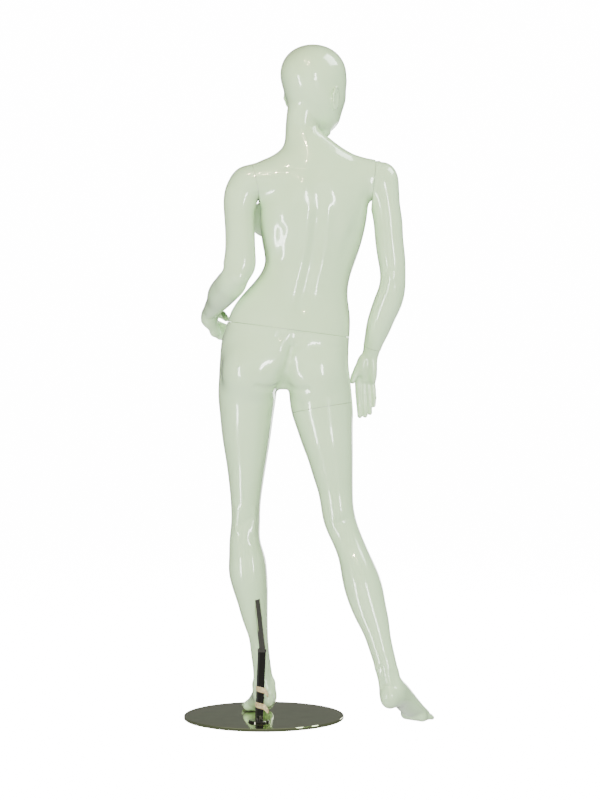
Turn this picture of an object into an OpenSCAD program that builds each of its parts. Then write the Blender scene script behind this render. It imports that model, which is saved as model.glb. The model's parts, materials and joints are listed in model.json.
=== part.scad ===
// Full body display mannequin on a round plate.
// The figure stands on its left leg and faces -Y; its left side is +X.
// It comes apart at the waist, the right thigh, both shoulders and both wrists,
// and a bent rod in the left calf holds it over the plate.

/* [Base] */
// Diameter of the round plate
plate_d = 425; // [400:1:450]
// Thickness of the plate
plate_t = 8; // [6:0.5:10]
// Diameter of the flange that holds the tube
flange_d = 55; // [52:1:60]
// Outer width of the square tube
tube_w = 16.6; // [16.6:0.2:18]
// Height of the square tube above the plate
tube_h = 190; // [180:1:192]
// Turn of the tube about its own length
tube_turn = 17; // [0:1:45]
// Lean of the tube towards the right leg
tube_lean = 2.4; // [0:0.1:3]

/* [Rod] */
// Width of the square bar, both in the tube and in the calf
bar_w = 12.6; // [12:0.1:12.8]
// Play between the bar and its socket, on each side
fit_play = 0.35; // [0.3:0.05:0.5]

/* [Shells] */
// Wall thickness of the glass fibre shells
wall = 4.5; // [4:0.1:6]
// Gap between two shells at a seam
seam_gap = 0.8; // [0.6:0.1:1.2]

/* [Fittings] */
// Thickness of the boards that close the shells
board_t = 8; // [6:1:10]
// Radius of the arm pins
arm_pin_r = 8; // [7:0.5:9]
// Radius of the wrist pins
wrist_pin_r = 4; // [3.5:0.5:5]
// Width of the square waist post
post_w = 20; // [18:1:22]

/* [Hidden] */
eps = 0.01;
sides = 24;      // points round a limb section
hand_fn = 14;    // facets of a finger

// ---------------------------------------------------------------- vectors
function unit(v) = v / norm(v);
function turn_z(v, a) = [v[0] * cos(a) - v[1] * sin(a), v[0] * sin(a) + v[1] * cos(a), v[2]];
function spline(a, b, c, d, t) =
    0.5 * (2 * b + (c - a) * t + (2 * a - 5 * b + 4 * c - d) * t * t
           + (3 * b - a - 3 * c + d) * t * t * t);
// Rows between the given stations, with m steps from one to the next
function dense(rows, m) = [
    for (i = [0 : len(rows) - 2], k = [0 : m - 1])
        spline(rows[max(i - 1, 0)], rows[i], rows[i + 1],
               rows[min(i + 2, len(rows) - 1)], k / m),
    rows[len(rows) - 1]
];
// A station is [x, y, z, side half-width, front half-depth, back half-depth, turn].
// Points of one section round centre c, in the plane square to n
function section(row, n, side) =
    let (c = [row[0], row[1], row[2]],
         s = turn_z(side, row[6]),
         u = unit(s - (s * n) * n),
         v = cross(n, u))
    [for (i = [0 : sides - 1])
        let (a = 360 * i / sides, q = sin(a) < 0 ? row[4] : row[5])
        c + row[3] * cos(a) * u + q * sin(a) * v];
function point(row) = [row[0], row[1], row[2]];
function path_dir(rows, i) =
    unit(point(rows[min(i + 1, len(rows) - 1)]) - point(rows[max(i - 1, 0)]));

// Closed solid through a list of sections
module skin(rings) {
    n = len(rings);
    polyhedron(
        points = [for (r = rings) for (p = r) p],
        faces = concat(
            [[for (i = [0 : sides - 1]) i]],
            [for (j = [0 : n - 2], i = [0 : sides - 1])
                let (k = (i + 1) % sides)
                each [[j * sides + i, (j + 1) * sides + k, j * sides + k],
                      [j * sides + i, (j + 1) * sides + i, (j + 1) * sides + k]]],
            [[for (i = [sides - 1 : -1 : 0]) (n - 1) * sides + i]]));
}
// Limb whose sections all lie square to one direction
module stack(rows, m = 2, thin = 0, dir = [0, 0, 1], side = [1, 0, 0]) {
    d = dense(rows, m);
    skin([for (r = d) section(r - [0, 0, 0, thin, thin, thin, 0], dir, side)]);
}
// Limb whose sections follow its path; first and last may be held to given directions
module limb(rows, side, m = 2, thin = 0, first = undef, last = undef) {
    d = dense(rows, m);
    e = len(d) - 1;
    skin([for (i = [0 : e])
        section(d[i] - [0, 0, 0, thin, thin, thin, 0],
                i == 0 && first != undef ? first : i == e && last != undef ? last
                : path_dir(d, i), side)]);
}
// Stands the drawing up so that its +Z runs along n, from the point p
module place(p, n) {
    z = unit(n);
    translate(p) rotate([0, acos(z[2]), atan2(z[1], z[0])])
        rotate([0, 0, -atan2(z[1], z[0])]) children();
}
// Everything on the far side of the plane through p, square to n
module beyond(p, n, off = 0) {
    place(p, n) translate([-400, -400, off]) cube([800, 800, 800]);
}

// ---------------------------------------------------------------- seams
waist_p = [-66, 2, 1032];
waist_n = [-0.129, 0, 0.992];
thigh_p = [-160, 8, 825];
thigh_n = [0.17, -0.06, 0.983];
l_shoulder_p = [22, 40, 1417];
l_shoulder_n = [0.971, 0.107, -0.214];
r_shoulder_p = [-292, -14, 1428];
r_shoulder_n = [-0.995, 0, -0.1];
l_wrist_p = [150, -137, 1083];
l_wrist_n = [0.33, -0.88, -0.34];
r_wrist_p = [-288, -44, 984];
r_wrist_n = [0.275, -0.22, -0.936];

// Rod: up out of the tube, then leaning into the calf
tube_foot = [11.1, 106, plate_t];
bend_up = tube_h + 6;                  // place of the bend along the tube
rod_dir = unit([14.9, -47, 119]);
rod_bend = tube_foot + bend_up * [-sin(tube_lean), 0, cos(tube_lean)];
rod_len = 212;                         // leaning length, to the end inside the calf
socket_a = 158;                        // where the calf socket starts along it
socket_len = 62;
socket_wall = 3;
bar_hole = bar_w + 2 * fit_play;
socket_w = bar_hole + 2 * socket_wall;

// ---------------------------------------------------------------- figure
// Stations: [x, y, z, side, front, back, turn]
chest_rows = [
    [-58, 4, 985, 168, 96, 112, 8], [-64, 3, 1030, 164, 92, 98, 8], [-70, 0, 1075, 159, 88, 86, 9],
    [-82, -2, 1120, 142, 84, 77, 10], [-103, -4, 1163, 125, 80, 72, 11],
    [-121, -5, 1205, 120, 80, 72, 12], [-127, -2, 1250, 130, 84, 76, 13],
    [-130, 3, 1300, 140, 92, 82, 13], [-132, 7, 1345, 146, 94, 86, 13],
    [-135, 10, 1390, 152, 88, 84, 13], [-136, 12, 1425, 144, 74, 76, 13],
    [-134, 12, 1455, 112, 60, 66, 12], [-128, 11, 1482, 80, 50, 58, 10]
];
yoke_rows = [
    [22, 40, 1417, 48, 45, 45, 0], [-14, 33, 1424, 54, 52, 50, 0], [-65, 24, 1425, 60, 62, 56, 0],
    [-135, 13, 1424, 62, 66, 62, 0], [-205, -2, 1430, 60, 60, 56, 0],
    [-258, -10, 1431, 55, 50, 50, 0], [-292, -14, 1428, 52, 45, 45, 0]
];
trapezius_rows = [
    [-30, 26, 1440, 40, 26, 26, 0], [-80, 14, 1488, 46, 34, 40, 0], [-116, 8, 1510, 52, 42, 46, 0],
    [-170, 6, 1496, 46, 34, 40, 0], [-238, -2, 1456, 40, 26, 26, 0]
];
neck_rows = [
    [-124, 10, 1470, 66, 52, 58, 5], [-114, 8, 1508, 56, 50, 52, 0], [-102, 6, 1538, 45, 46, 47, -8],
    [-100, 2, 1568, 43, 48, 46, -16], [-106, -4, 1600, 48, 52, 52, -24], [-118, -6, 1640, 56, 60, 62, -28]
];
head_rows = [
    [-136, -46, 1558, 24, 42, 34, -28], [-134, -34, 1574, 40, 62, 52, -28],
    [-129, -22, 1598, 56, 76, 66, -28], [-127, -12, 1625, 68, 88, 82, -28],
    [-128, -6, 1655, 76, 92, 94, -28], [-129, -2, 1690, 79, 91, 99, -28],
    [-129, 0, 1720, 76, 84, 96, -28], [-128, 2, 1746, 65, 70, 82, -28],
    [-126, 4, 1768, 45, 48, 58, -28], [-124, 6, 1783, 14, 16, 18, -28]
];
pelvis_rows = [
    [-68, 2, 1075, 160, 88, 86, 9], [-64, 3, 1030, 164, 92, 98, 8], [-57, 4, 985, 168, 96, 112, 8],
    [-52, 4, 945, 171, 96, 122, 8], [-53, 4, 905, 173, 94, 122, 8], [-56, 4, 868, 172, 86, 108, 8],
    [-58, 4, 846, 150, 60, 74, 8]
];
left_leg_rows = [
    [36, 3, 950, 78, 86, 96, 0], [42, 4, 890, 79, 86, 98, 0], [44, 3, 850, 76, 84, 88, 0],
    [45, 2, 810, 72, 79, 79, 0], [46, 0, 750, 65, 72, 70, 0], [46, -2, 686, 55, 63, 61, 0],
    [47, -2, 620, 45, 53, 52, 0], [48, 0, 560, 39, 47, 46, 0], [49, 2, 517, 39, 46, 44, 0],
    [50, 8, 474, 42, 43, 46, 0], [44, 14, 432, 48, 42, 52, 0], [41, 18, 389, 51, 42, 54, 0],
    [35, 22, 347, 47, 40, 48, 0], [29, 27, 305, 40, 37, 41, 0], [21, 33, 262, 32, 33, 34, 0],
    [14, 37, 220, 26, 30, 29, 0], [9, 39, 177, 25, 28, 27, 0], [3, 42, 135, 26, 29, 28, 8],
    [0, 43, 96, 29, 31, 28, 12], [-1, 44, 66, 28, 30, 26, 12]
];
left_foot_rows = [
    [-13, 84, 62, 13, 12, 14, 0], [-10, 70, 63, 27, 25, 36, 0], [-4, 44, 68, 30, 28, 44, 0],
    [5, 5, 60, 32, 25, 38, 0], [13, -34, 44, 38, 24, 30, 0], [21, -71, 32, 43, 22, 20, 0],
    [28, -100, 26, 43, 16, 14, 0], [34, -123, 22, 35, 12, 11, 0], [37, -138, 20, 18, 7, 7, 0]
];
right_leg_rows = [
    [-143, 3, 930, 80, 88, 100, 0], [-150, 5, 875, 82, 88, 94, 0], [-156, 8, 815, 81, 86, 84, 0],
    [-163, 11, 771, 74, 80, 78, 0], [-169, 15, 729, 67, 73, 71, 0], [-177, 18, 687, 60, 66, 64, 0],
    [-183, 22, 645, 53, 59, 57, 0], [-190, 25, 603, 46, 53, 51, 0], [-195, 29, 561, 43, 49, 48, 0],
    [-205, 33, 519, 44, 48, 46, 0], [-221, 44, 478, 43, 44, 48, 0], [-238, 60, 437, 44, 42, 53, 0],
    [-251, 76, 397, 48, 42, 56, 0], [-261, 92, 357, 51, 41, 52, 0], [-271, 108, 317, 48, 39, 45, 0],
    [-283, 124, 278, 43, 35, 38, 0], [-296, 139, 238, 35, 32, 32, 0], [-307, 154, 199, 31, 30, 29, 0],
    [-319, 167, 160, 28, 30, 30, -20], [-324, 176, 126, 29, 32, 28, -28], [-325, 182, 104, 28, 30, 24, -28]
];
right_foot_rows = [
    [-322, 214, 80, 13, 13, 14, 0], [-328, 202, 82, 26, 25, 32, 0], [-338, 180, 86, 30, 29, 42, 0],
    [-355, 144, 78, 32, 26, 38, 0], [-374, 106, 57, 37, 24, 28, 0], [-394, 68, 36, 42, 24, 19, 0],
    [-412, 38, 23, 42, 18, 14, 0], [-430, 12, 19, 34, 14, 11, 0], [-442, -4, 17, 17, 8, 7, 0]
];
left_arm_rows = [
    [22, 40, 1417, 45, 48, 48, 0], [46, 41, 1403, 45, 46, 49, 0], [60, 43, 1372, 44, 44, 45, 0],
    [63, 48, 1330, 42, 40, 40, 0], [62, 57, 1280, 40, 38, 38, 0], [62, 66, 1230, 39, 37, 39, 0],
    [66, 72, 1192, 38, 37, 41, 0], [76, 74, 1160, 31, 30, 33, 0]
];
left_forearm_rows = [
    [64, 96, 1170, 26, 26, 26, 0], [73, 72, 1163, 39, 40, 38, 0], [89, 30, 1147, 41, 43, 37, 0],
    [108, -20, 1128, 38, 41, 34, 0], [127, -74, 1107, 31, 32, 28, 0], [142, -115, 1091, 26, 26, 23, 0],
    [150, -137, 1083, 24, 24, 22, 0]
];
right_arm_rows = [
    [-292, -14, 1428, 45, 52, 52, 0], [-312, -14, 1408, 45, 50, 47, 0], [-322, -13, 1370, 43, 39, 42, 0],
    [-326, -11, 1322, 41, 38, 38, 0], [-329, -8, 1270, 39, 37, 37, 0], [-335, -5, 1220, 37, 36, 36, 0],
    [-338, -4, 1175, 36, 34, 33, 0], [-336, -9, 1140, 38, 35, 35, 0], [-328, -16, 1105, 38, 37, 38, 0],
    [-316, -24, 1070, 35, 35, 36, 0], [-303, -33, 1035, 29, 33, 32, 0], [-293, -40, 1004, 24, 28, 26, 0],
    [-288, -44, 984, 22, 25, 24, 0]
];

module figure_top(thin = 0) {
    m = thin == 0 ? 2 : 1;
    stack([for (r = chest_rows) if (thin == 0 || r[2] < 1470) r], m = m, thin = thin);
    stack(neck_rows, m = 1, thin = thin);
    stack([for (r = head_rows) if (thin == 0 || (r[2] > 1590 && r[2] < 1760)) r], m = m, thin = thin);
    if (thin == 0) {
        limb(yoke_rows, [0, 0, 1], first = -l_shoulder_n, last = r_shoulder_n);
        limb(trapezius_rows, [0, 0, 1], m = 1);
        for (s = [[-8, -66, 1318], [-170, -100, 1322]])
            translate(s) scale([1, 0.9, 1]) sphere(r = 52, $fn = 24);
    } else {
        // the hollow runs on past both shoulder seams
        limb(concat([yoke_rows[0] + [30, 3, -7, 0, 0, 0, 0]], yoke_rows,
                    [yoke_rows[6] + [-30, 0, -3, 0, 0, 0, 0]]), [0, 0, 1], m = 1, thin = thin,
             first = -l_shoulder_n, last = r_shoulder_n);
    }
}
module figure_low(thin = 0) {
    m = thin == 0 ? 2 : 1;
    stack([for (r = pelvis_rows) if (thin == 0 || r[2] > 860) r], m = m, thin = thin,
          dir = [0, 0, -1], side = [-1, 0, 0]);
    stack([for (r = left_leg_rows) if (thin == 0 || r[2] > 400) r], m = m, thin = thin,
          dir = [0, 0, -1], side = [-1, 0, 0]);
    if (thin == 0) {
        limb(left_foot_rows, [0.98, 0.2, 0]);
        for (s = [[28, 66, 925], [-135, 48, 915]])
            translate(s) scale([0.96, 0.82, 1]) sphere(r = 78, $fn = 24);
    }
    stack([for (r = right_leg_rows) if (r[2] > 720) r], m = 1, thin = thin,
          dir = [0, 0, -1], side = [-1, 0, 0]);
}

// ---------------------------------------------------------------- fittings
half_gap = seam_gap / 2;
plate_h = 3.6;                                 // steel plates lie just under the seam
board_low = half_gap + plate_h;                // depth of a board's outer face
shoulder_board_r = 41;
wrist_board_r = 17.5;
waist_board = [146, 76];
waist_turn = 9;
thigh_board = [74, 76];
post_len = 62;
key_len = 44;
bar_clear = 0.35;
fit_screw_r = 2;                               // screws of plates, posts and keys
plate_ring = 26;                               // ring of screws on the waist and thigh plates
key_ring = 24;                                 // ring of screws on posts, keys and shoulder plates
plate_r = 34;
post_flange_r = 32;
shoulder_plate_r = 31;
post_wall = 3;                                 // wall of the socket round the waist post
post_floor = 3;
thigh_pin_r = 10;
thigh_flange_r = 30;
shoulder_flange_r = 27;
shoulder_pin_len = 30;
pin_play = 0.25;
board_hole_r = 16;                             // clearance in a board for a key's head
wrist_flange_r = wrist_pin_r + 4;
wrist_flange_h = 1.5;
wrist_pin_in = 11.5;                           // length of a wrist pin inside the hand

module oval(a, b, t) {
    linear_extrude(height = t)
        polygon([for (i = [0 : 47]) [a * cos(7.5 * i), b * sin(7.5 * i)]]);
}
module ring_of(n, r) { for (i = [0 : n - 1]) rotate([0, 0, 360 * i / n + 45]) translate([r, 0, 0]) children(); }

// Countersunk screw, head up at z = 0
module screw(r, l) {
    rotate_extrude($fn = 24)
        polygon([[0, 0], [r * 1.9, 0], [r * 1.9, -r * 0.4], [r, -r * 1.3], [r, -l], [0, -l]]);
}
// Blind holes in a board for the ends of four screws
module board_screws(ring, z) {
    ring_of(4, ring) translate([0, 0, z]) cylinder(r = fit_screw_r, h = 3, $fn = 24);
}
// Round steel plate with a central hole and four screw holes, top at z = 0
module round_plate(r, bore, screw_ring, screw_r) {
    difference() {
        translate([0, 0, -plate_h]) cylinder(r = r, h = plate_h, $fn = 64);
        translate([0, 0, -plate_h - 1]) cylinder(r = bore, h = plate_h + 2, $fn = 64);
        ring_of(4, screw_ring) translate([0, 0, eps]) screw_hole(screw_r);
    }
}
module screw_hole(r) {
    rotate_extrude($fn = 24)
        polygon([[0, 0], [r * 1.9, 0], [r * 1.9, -r * 0.4], [r, -r * 1.3], [r, -40], [0, -40]]);
}
// Key: flange at the seam, round pin into the body, wider head behind the plate
head_extra = 4;
head_h = 5;
module arm_key(r, flange_r, l) {
    rotate_extrude($fn = 48)
        polygon([[0, plate_h], [flange_r, plate_h], [flange_r, 0], [r, 0], [r, -l + head_h],
                 [r + head_extra, -l + head_h], [r + head_extra, -l], [0, -l]]);
}

// ---------------------------------------------------------------- base
flange_h = 5;
flange_ring = flange_d / 2 - 7;                // radius on which the flange screws sit
flange_screw_r = 2;
tube_in = bar_w + 2 * bar_clear;
tube_floor = 6;                                // solid foot of the tube
screw_z = 10.5;                                // height of the clamp screw over the plate
screw_r = 3;
screw_head_r = 4.5;
screw_head_h = 5;
collar_h = 7;
collar_wall = 0.9;
tape_t = 1.2;
tape_h = 20;
bar_low = tube_floor + 0.5;                    // lower end of the bar, above the plate
mitre = 1.3;                                   // overrun that closes the bend of the bar

module beside_tube() { translate([tube_foot[0], tube_foot[1], 0]) children(); }
module along_tube() {
    translate(tube_foot) rotate([0, -tube_lean, 0]) rotate([0, 0, tube_turn]) children();
}
module along_rod(h) {
    place(rod_bend, rod_dir) rotate([0, 0, tube_turn]) translate([0, 0, h]) children();
}
module bar(w, h) { translate([-w / 2, -w / 2, 0]) cube([w, w, h]); }
module sleeve(outer, inner, h) {
    difference() {
        bar(outer, h);
        translate([0, 0, -1]) bar(inner, h + 2);
    }
}

module base_plate() {
    color("silver") difference() {
        rotate_extrude($fn = 128)
            polygon([[0, 0], [plate_d / 2 - 1, 0], [plate_d / 2, 1], [plate_d / 2, plate_t - 1],
                     [plate_d / 2 - 1, plate_t], [0, plate_t]]);
        beside_tube() ring_of(4, flange_ring)
            translate([0, 0, plate_t - 5]) cylinder(r = flange_screw_r, h = 6, $fn = 24);
    }
}
module rod_flange() {
    color("silver") difference() {
        beside_tube() translate([0, 0, plate_t]) difference() {
            rotate_extrude($fn = 64)
                polygon([[0, 0], [flange_d / 2, 0], [flange_d / 2, flange_h - 2],
                         [flange_d / 2 - 2, flange_h], [0, flange_h]]);
            ring_of(4, flange_ring) translate([0, 0, flange_h + eps]) screw_hole(flange_screw_r);
        }
        along_tube() translate([0, 0, -2]) bar(tube_w, flange_h + 6);
    }
}
module flange_screws() {
    color("silver") beside_tube() translate([0, 0, plate_t + flange_h])
        ring_of(4, flange_ring) screw(flange_screw_r, flange_h + 4);
}
module base_tube() {
    color("silver") along_tube() difference() {
        translate([0, 0, 0.6]) bar(tube_w, tube_h - 0.6);
        translate([0, 0, tube_floor]) bar(tube_in, tube_h);
        translate([0, 0, screw_z]) rotate([-90, 0, 0]) cylinder(r = screw_r + 0.05, h = 40, $fn = 32);
    }
}
module tube_collar() {
    color("silver") along_tube() translate([0, 0, tube_h - collar_h]) {
        sleeve(tube_w + 2 * collar_wall, tube_w, collar_h);
        translate([0, 0, collar_h]) sleeve(tube_w + 2 * collar_wall, tube_in, 1);
    }
}
module tape_bands() {
    color("wheat") along_tube() for (z = [33, 73])
        translate([0, 0, z]) sleeve(tube_w + 2 * tape_t, tube_w, tape_h);
}
module clamp_screw() {
    color("silver") along_tube() translate([0, 0, screw_z]) rotate([-90, 0, 0]) {
        translate([0, 0, bar_w / 2 + 0.1]) cylinder(r = screw_r, h = 4, $fn = 32);
        translate([0, 0, tube_w / 2 + 0.3]) cylinder(r = screw_head_r, h = screw_head_h, $fn = 32);
    }
}
// Square bar that slides in the tube and leans into the calf
module calf_rod() {
    color("silver") {
        along_tube() translate([0, 0, bar_low]) bar(bar_w, bend_up - bar_low + mitre);
        along_rod(-mitre) bar(bar_w, rod_len + mitre);
    }
}

// ---------------------------------------------------------------- lower figure
module waist_side() { place(waist_p, waist_n) rotate([0, 0, waist_turn]) children(); }
module thigh_side() { place(thigh_p, thigh_n) children(); }

module pelvis_leg_shell() {
    color("ivory") resize([0, 0, 0]) difference() {
        figure_low();
        figure_low(wall);
        beyond(waist_p, waist_n, -half_gap);
        // under the thigh seam nothing is left of the right leg
        intersection() {
            place(thigh_p, -thigh_n) translate([-130, -150, -half_gap]) cube([230, 300, 200]);
            translate([-400, -200, 600]) cube([325, 400, 400]);
        }
        waist_side() translate([0, 0, -board_low - board_t])
            oval(waist_board[0], waist_board[1], board_t + 0.1);
        thigh_side() translate([0, 0, board_low - 0.1]) oval(thigh_board[0], thigh_board[1], board_t + 0.1);
        along_rod(socket_a) bar(socket_w, socket_len);
        along_rod(socket_a - 100) bar(bar_hole + 0.6, 101);
    }
}
module calf_socket() {
    color("dimgray") along_rod(socket_a) difference() {
        bar(socket_w, socket_len);
        translate([0, 0, -1]) bar(bar_hole, rod_len - socket_a + 1.5);
    }
}
module lower_waist_board() {
    color("burlywood") waist_side() translate([0, 0, -board_low - board_t]) difference() {
        oval(waist_board[0], waist_board[1], board_t);
        translate([0, 0, -1]) bar(post_w + 12, board_t + 2);
        board_screws(plate_ring, board_t - 1);
    }
}
// Steel plate with a square socket hanging from it
module waist_socket() {
    s = post_w + 2 * bar_clear;
    color("dimgray") waist_side() difference() {
        union() {
            translate([0, 0, -half_gap]) round_plate(plate_r, 1, plate_ring, fit_screw_r);
            translate([0, 0, -half_gap - post_len - 5 - post_floor])
                bar(s + 2 * post_wall, post_len + 5 + post_floor - 0.2);
        }
        translate([0, 0, -half_gap - post_len - post_floor]) bar(s, post_len + 10);
    }
}
module waist_socket_screws() {
    color("silver") waist_side() translate([0, 0, -half_gap]) ring_of(4, plate_ring) screw(fit_screw_r, plate_h + 1);
}
module upper_thigh_board() {
    color("burlywood") thigh_side() translate([0, 0, board_low]) difference() {
        oval(thigh_board[0], thigh_board[1], board_t);
        translate([0, 0, -1]) cylinder(r = board_hole_r, h = board_t + 2, $fn = 48);
        board_screws(plate_ring, -2);
    }
}
module thigh_plate() {
    color("dimgray") thigh_side() rotate([180, 0, 0]) translate([0, 0, -half_gap])
        round_plate(plate_r, thigh_pin_r + pin_play, plate_ring, fit_screw_r);
}
module thigh_plate_screws() {
    color("silver") thigh_side() rotate([180, 0, 0]) translate([0, 0, -half_gap])
        ring_of(4, plate_ring) screw(fit_screw_r, plate_h + 1);
}

// ---------------------------------------------------------------- right leg
module right_leg_shell() {
    color("ivory") resize([0, 0, 0]) difference() {
        union() {
            stack(right_leg_rows, dir = [0, 0, -1], side = [-1, 0, 0]);
            limb(right_foot_rows, [0.86, -0.5, 0], m = 2);
        }
        stack([for (r = right_leg_rows) if (r[2] > 300) r], m = 1, thin = wall,
              dir = [0, 0, -1], side = [-1, 0, 0]);
        beyond(thigh_p, thigh_n, -half_gap);
        thigh_side() translate([0, 0, -board_low - board_t])
            oval(thigh_board[0], thigh_board[1], board_t + 0.1);
    }
}
module lower_thigh_board() {
    color("burlywood") thigh_side() translate([0, 0, -board_low - board_t]) difference() {
        oval(thigh_board[0], thigh_board[1], board_t);
        board_screws(key_ring, board_t - 1);
    }
}
module thigh_key() {
    color("silver") thigh_side() rotate([180, 0, 0]) translate([0, 0, half_gap]) difference() {
        arm_key(thigh_pin_r, thigh_flange_r, key_len);
        rotate([180, 0, 0]) ring_of(4, key_ring) translate([0, 0, eps]) screw_hole(fit_screw_r);
    }
}
module thigh_key_screws() {
    color("silver") thigh_side() translate([0, 0, -half_gap]) ring_of(4, key_ring) screw(fit_screw_r, plate_h + 1);
}

// ---------------------------------------------------------------- torso
module l_shoulder() { place(l_shoulder_p, l_shoulder_n) children(); }
module r_shoulder() { place(r_shoulder_p, r_shoulder_n) children(); }

module torso_head_shell() {
    color("ivory") resize([0, 0, 0]) difference() {
        figure_top();
        figure_top(wall);
        beyond(waist_p, -waist_n, -half_gap);
        intersection() {
            beyond(l_shoulder_p, l_shoulder_n, -half_gap);
            translate([-60, -200, 1330]) cube([400, 400, 200]);
        }
        intersection() {
            beyond(r_shoulder_p, r_shoulder_n, -half_gap);
            translate([-700, -200, 1330]) cube([500, 400, 200]);
        }
        waist_side() translate([0, 0, board_low - 0.1]) oval(waist_board[0], waist_board[1], board_t + 0.1);
        l_shoulder() shoulder_pocket();
        r_shoulder() shoulder_pocket();
    }
}
module shoulder_pocket() {
    translate([0, 0, -board_low - board_t])
        cylinder(r = shoulder_board_r, h = board_t + board_low, $fn = 64);
}
module upper_waist_board() {
    color("burlywood") waist_side() translate([0, 0, board_low]) difference() {
        oval(waist_board[0], waist_board[1], board_t);
        board_screws(key_ring, -2);
    }
}
module waist_post() {
    color("silver") waist_side() difference() {
        union() {
            translate([0, 0, half_gap]) cylinder(r = post_flange_r, h = plate_h, $fn = 64);
            translate([0, 0, -post_len]) bar(post_w, post_len + half_gap + 1);
        }
        translate([0, 0, half_gap]) rotate([180, 0, 0]) ring_of(4, key_ring)
            translate([0, 0, eps]) screw_hole(fit_screw_r);
    }
}
module waist_post_screws() {
    color("silver") waist_side() translate([0, 0, half_gap]) rotate([180, 0, 0])
        ring_of(4, key_ring) screw(fit_screw_r, plate_h + 1);
}
module shoulder_board() {
    color("burlywood") translate([0, 0, -board_low - board_t]) difference() {
        cylinder(r = shoulder_board_r, h = board_t, $fn = 64);
        translate([0, 0, -1]) cylinder(r = board_hole_r - 1, h = board_t + 2, $fn = 48);
        board_screws(key_ring, board_t - 1);
    }
}
module left_shoulder_board() { l_shoulder() shoulder_board(); }
module right_shoulder_board() { r_shoulder() shoulder_board(); }
module shoulder_plate() {
    color("dimgray") translate([0, 0, -half_gap]) round_plate(shoulder_plate_r, arm_pin_r + pin_play, key_ring, fit_screw_r);
}
module left_shoulder_plate() { l_shoulder() shoulder_plate(); }
module right_shoulder_plate() { r_shoulder() shoulder_plate(); }
module plate_screws() { translate([0, 0, -half_gap]) ring_of(4, key_ring) screw(fit_screw_r, plate_h + 1); }
module shoulder_screws() {
    color("silver") { l_shoulder() plate_screws(); r_shoulder() plate_screws(); }
}

// ---------------------------------------------------------------- arms
module arm_pocket() {
    translate([0, 0, half_gap - 0.1]) cylinder(r = shoulder_board_r, h = board_low - half_gap + board_t + 0.1, $fn = 64);
}
module wrist_pocket() {
    translate([0, 0, -half_gap - board_t]) cylinder(r = wrist_board_r, h = board_t + 1, $fn = 48);
}
module left_arm_shell() {
    color("ivory") resize([0, 0, 0]) difference() {
        union() {
            limb(left_arm_rows, [0, 1, 0], first = l_shoulder_n);
            limb(left_forearm_rows, [0, 0, 1], last = l_wrist_n);
            translate([70, 80, 1166]) sphere(r = 33, $fn = 28);
        }
        limb([for (i = [0 : 5]) left_arm_rows[i]], [0, 1, 0], m = 1, thin = wall, first = l_shoulder_n);
        beyond(l_shoulder_p, -l_shoulder_n, -half_gap);
        l_shoulder() arm_pocket();
        place(l_wrist_p, l_wrist_n) wrist_pocket();
        intersection() {
            beyond(l_wrist_p, l_wrist_n, -half_gap);
            translate([90, -300, 1000]) cube(200);
        }
    }
}
module right_arm_shell() {
    color("ivory") resize([0, 0, 0]) difference() {
        limb(right_arm_rows, [0, 1, 0], first = r_shoulder_n, last = r_wrist_n);
        limb([for (i = [0 : 7]) right_arm_rows[i]], [0, 1, 0], m = 1, thin = wall, first = r_shoulder_n);
        beyond(r_shoulder_p, -r_shoulder_n, -half_gap);
        r_shoulder() arm_pocket();
        place(r_wrist_p, r_wrist_n) wrist_pocket();
        intersection() {
            beyond(r_wrist_p, r_wrist_n, -half_gap);
            translate([-400, -150, 850]) cube([250, 250, 200]);
        }
    }
}
module arm_board() {
    color("burlywood") translate([0, 0, board_low]) difference() {
        cylinder(r = shoulder_board_r, h = board_t, $fn = 64);
        board_screws(key_ring - 4, -2);
    }
}
module left_arm_board() { l_shoulder() arm_board(); }
module right_arm_board() { r_shoulder() arm_board(); }
// Flanged pin that carries an arm, held by four screws
module shoulder_key() { translate([0, 0, half_gap]) arm_key(arm_pin_r, shoulder_flange_r, shoulder_pin_len); }
module left_arm_key() { color("silver") l_shoulder() shoulder_key(); }
module right_arm_key() { color("silver") r_shoulder() shoulder_key(); }

// Socket that closes the forearm and takes the wrist pin
module wrist_socket() {
    color("dimgray") translate([0, 0, -half_gap - board_t]) difference() {
        cylinder(r = wrist_board_r, h = board_t, $fn = 48);
        translate([0, 0, 1]) cylinder(r = wrist_pin_r + 0.2, h = board_t, $fn = 32);
    }
}
module left_wrist_socket() { place(l_wrist_p, l_wrist_n) wrist_socket(); }
module right_wrist_socket() { place(r_wrist_p, r_wrist_n) wrist_socket(); }
module wrist_pin() {
    color("silver") {
        translate([0, 0, half_gap - 6.5]) cylinder(r = wrist_pin_r, h = 18, $fn = 32);
        translate([0, 0, half_gap]) cylinder(r = wrist_flange_r, h = wrist_flange_h, $fn = 32);
    }
}
module left_wrist_pin() { place(l_wrist_p, l_wrist_n) wrist_pin(); }
module right_wrist_pin() { place(r_wrist_p, r_wrist_n) wrist_pin(); }
module pin_hole() {
    translate([0, 0, -eps]) cylinder(r = wrist_pin_r, h = half_gap + wrist_pin_in, $fn = 32);
    translate([0, 0, -eps]) cylinder(r = wrist_flange_r, h = half_gap + wrist_flange_h, $fn = 32);
}

// ---------------------------------------------------------------- hands
module bead(p, r) { translate(p) sphere(r = r, $fn = hand_fn); }
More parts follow.
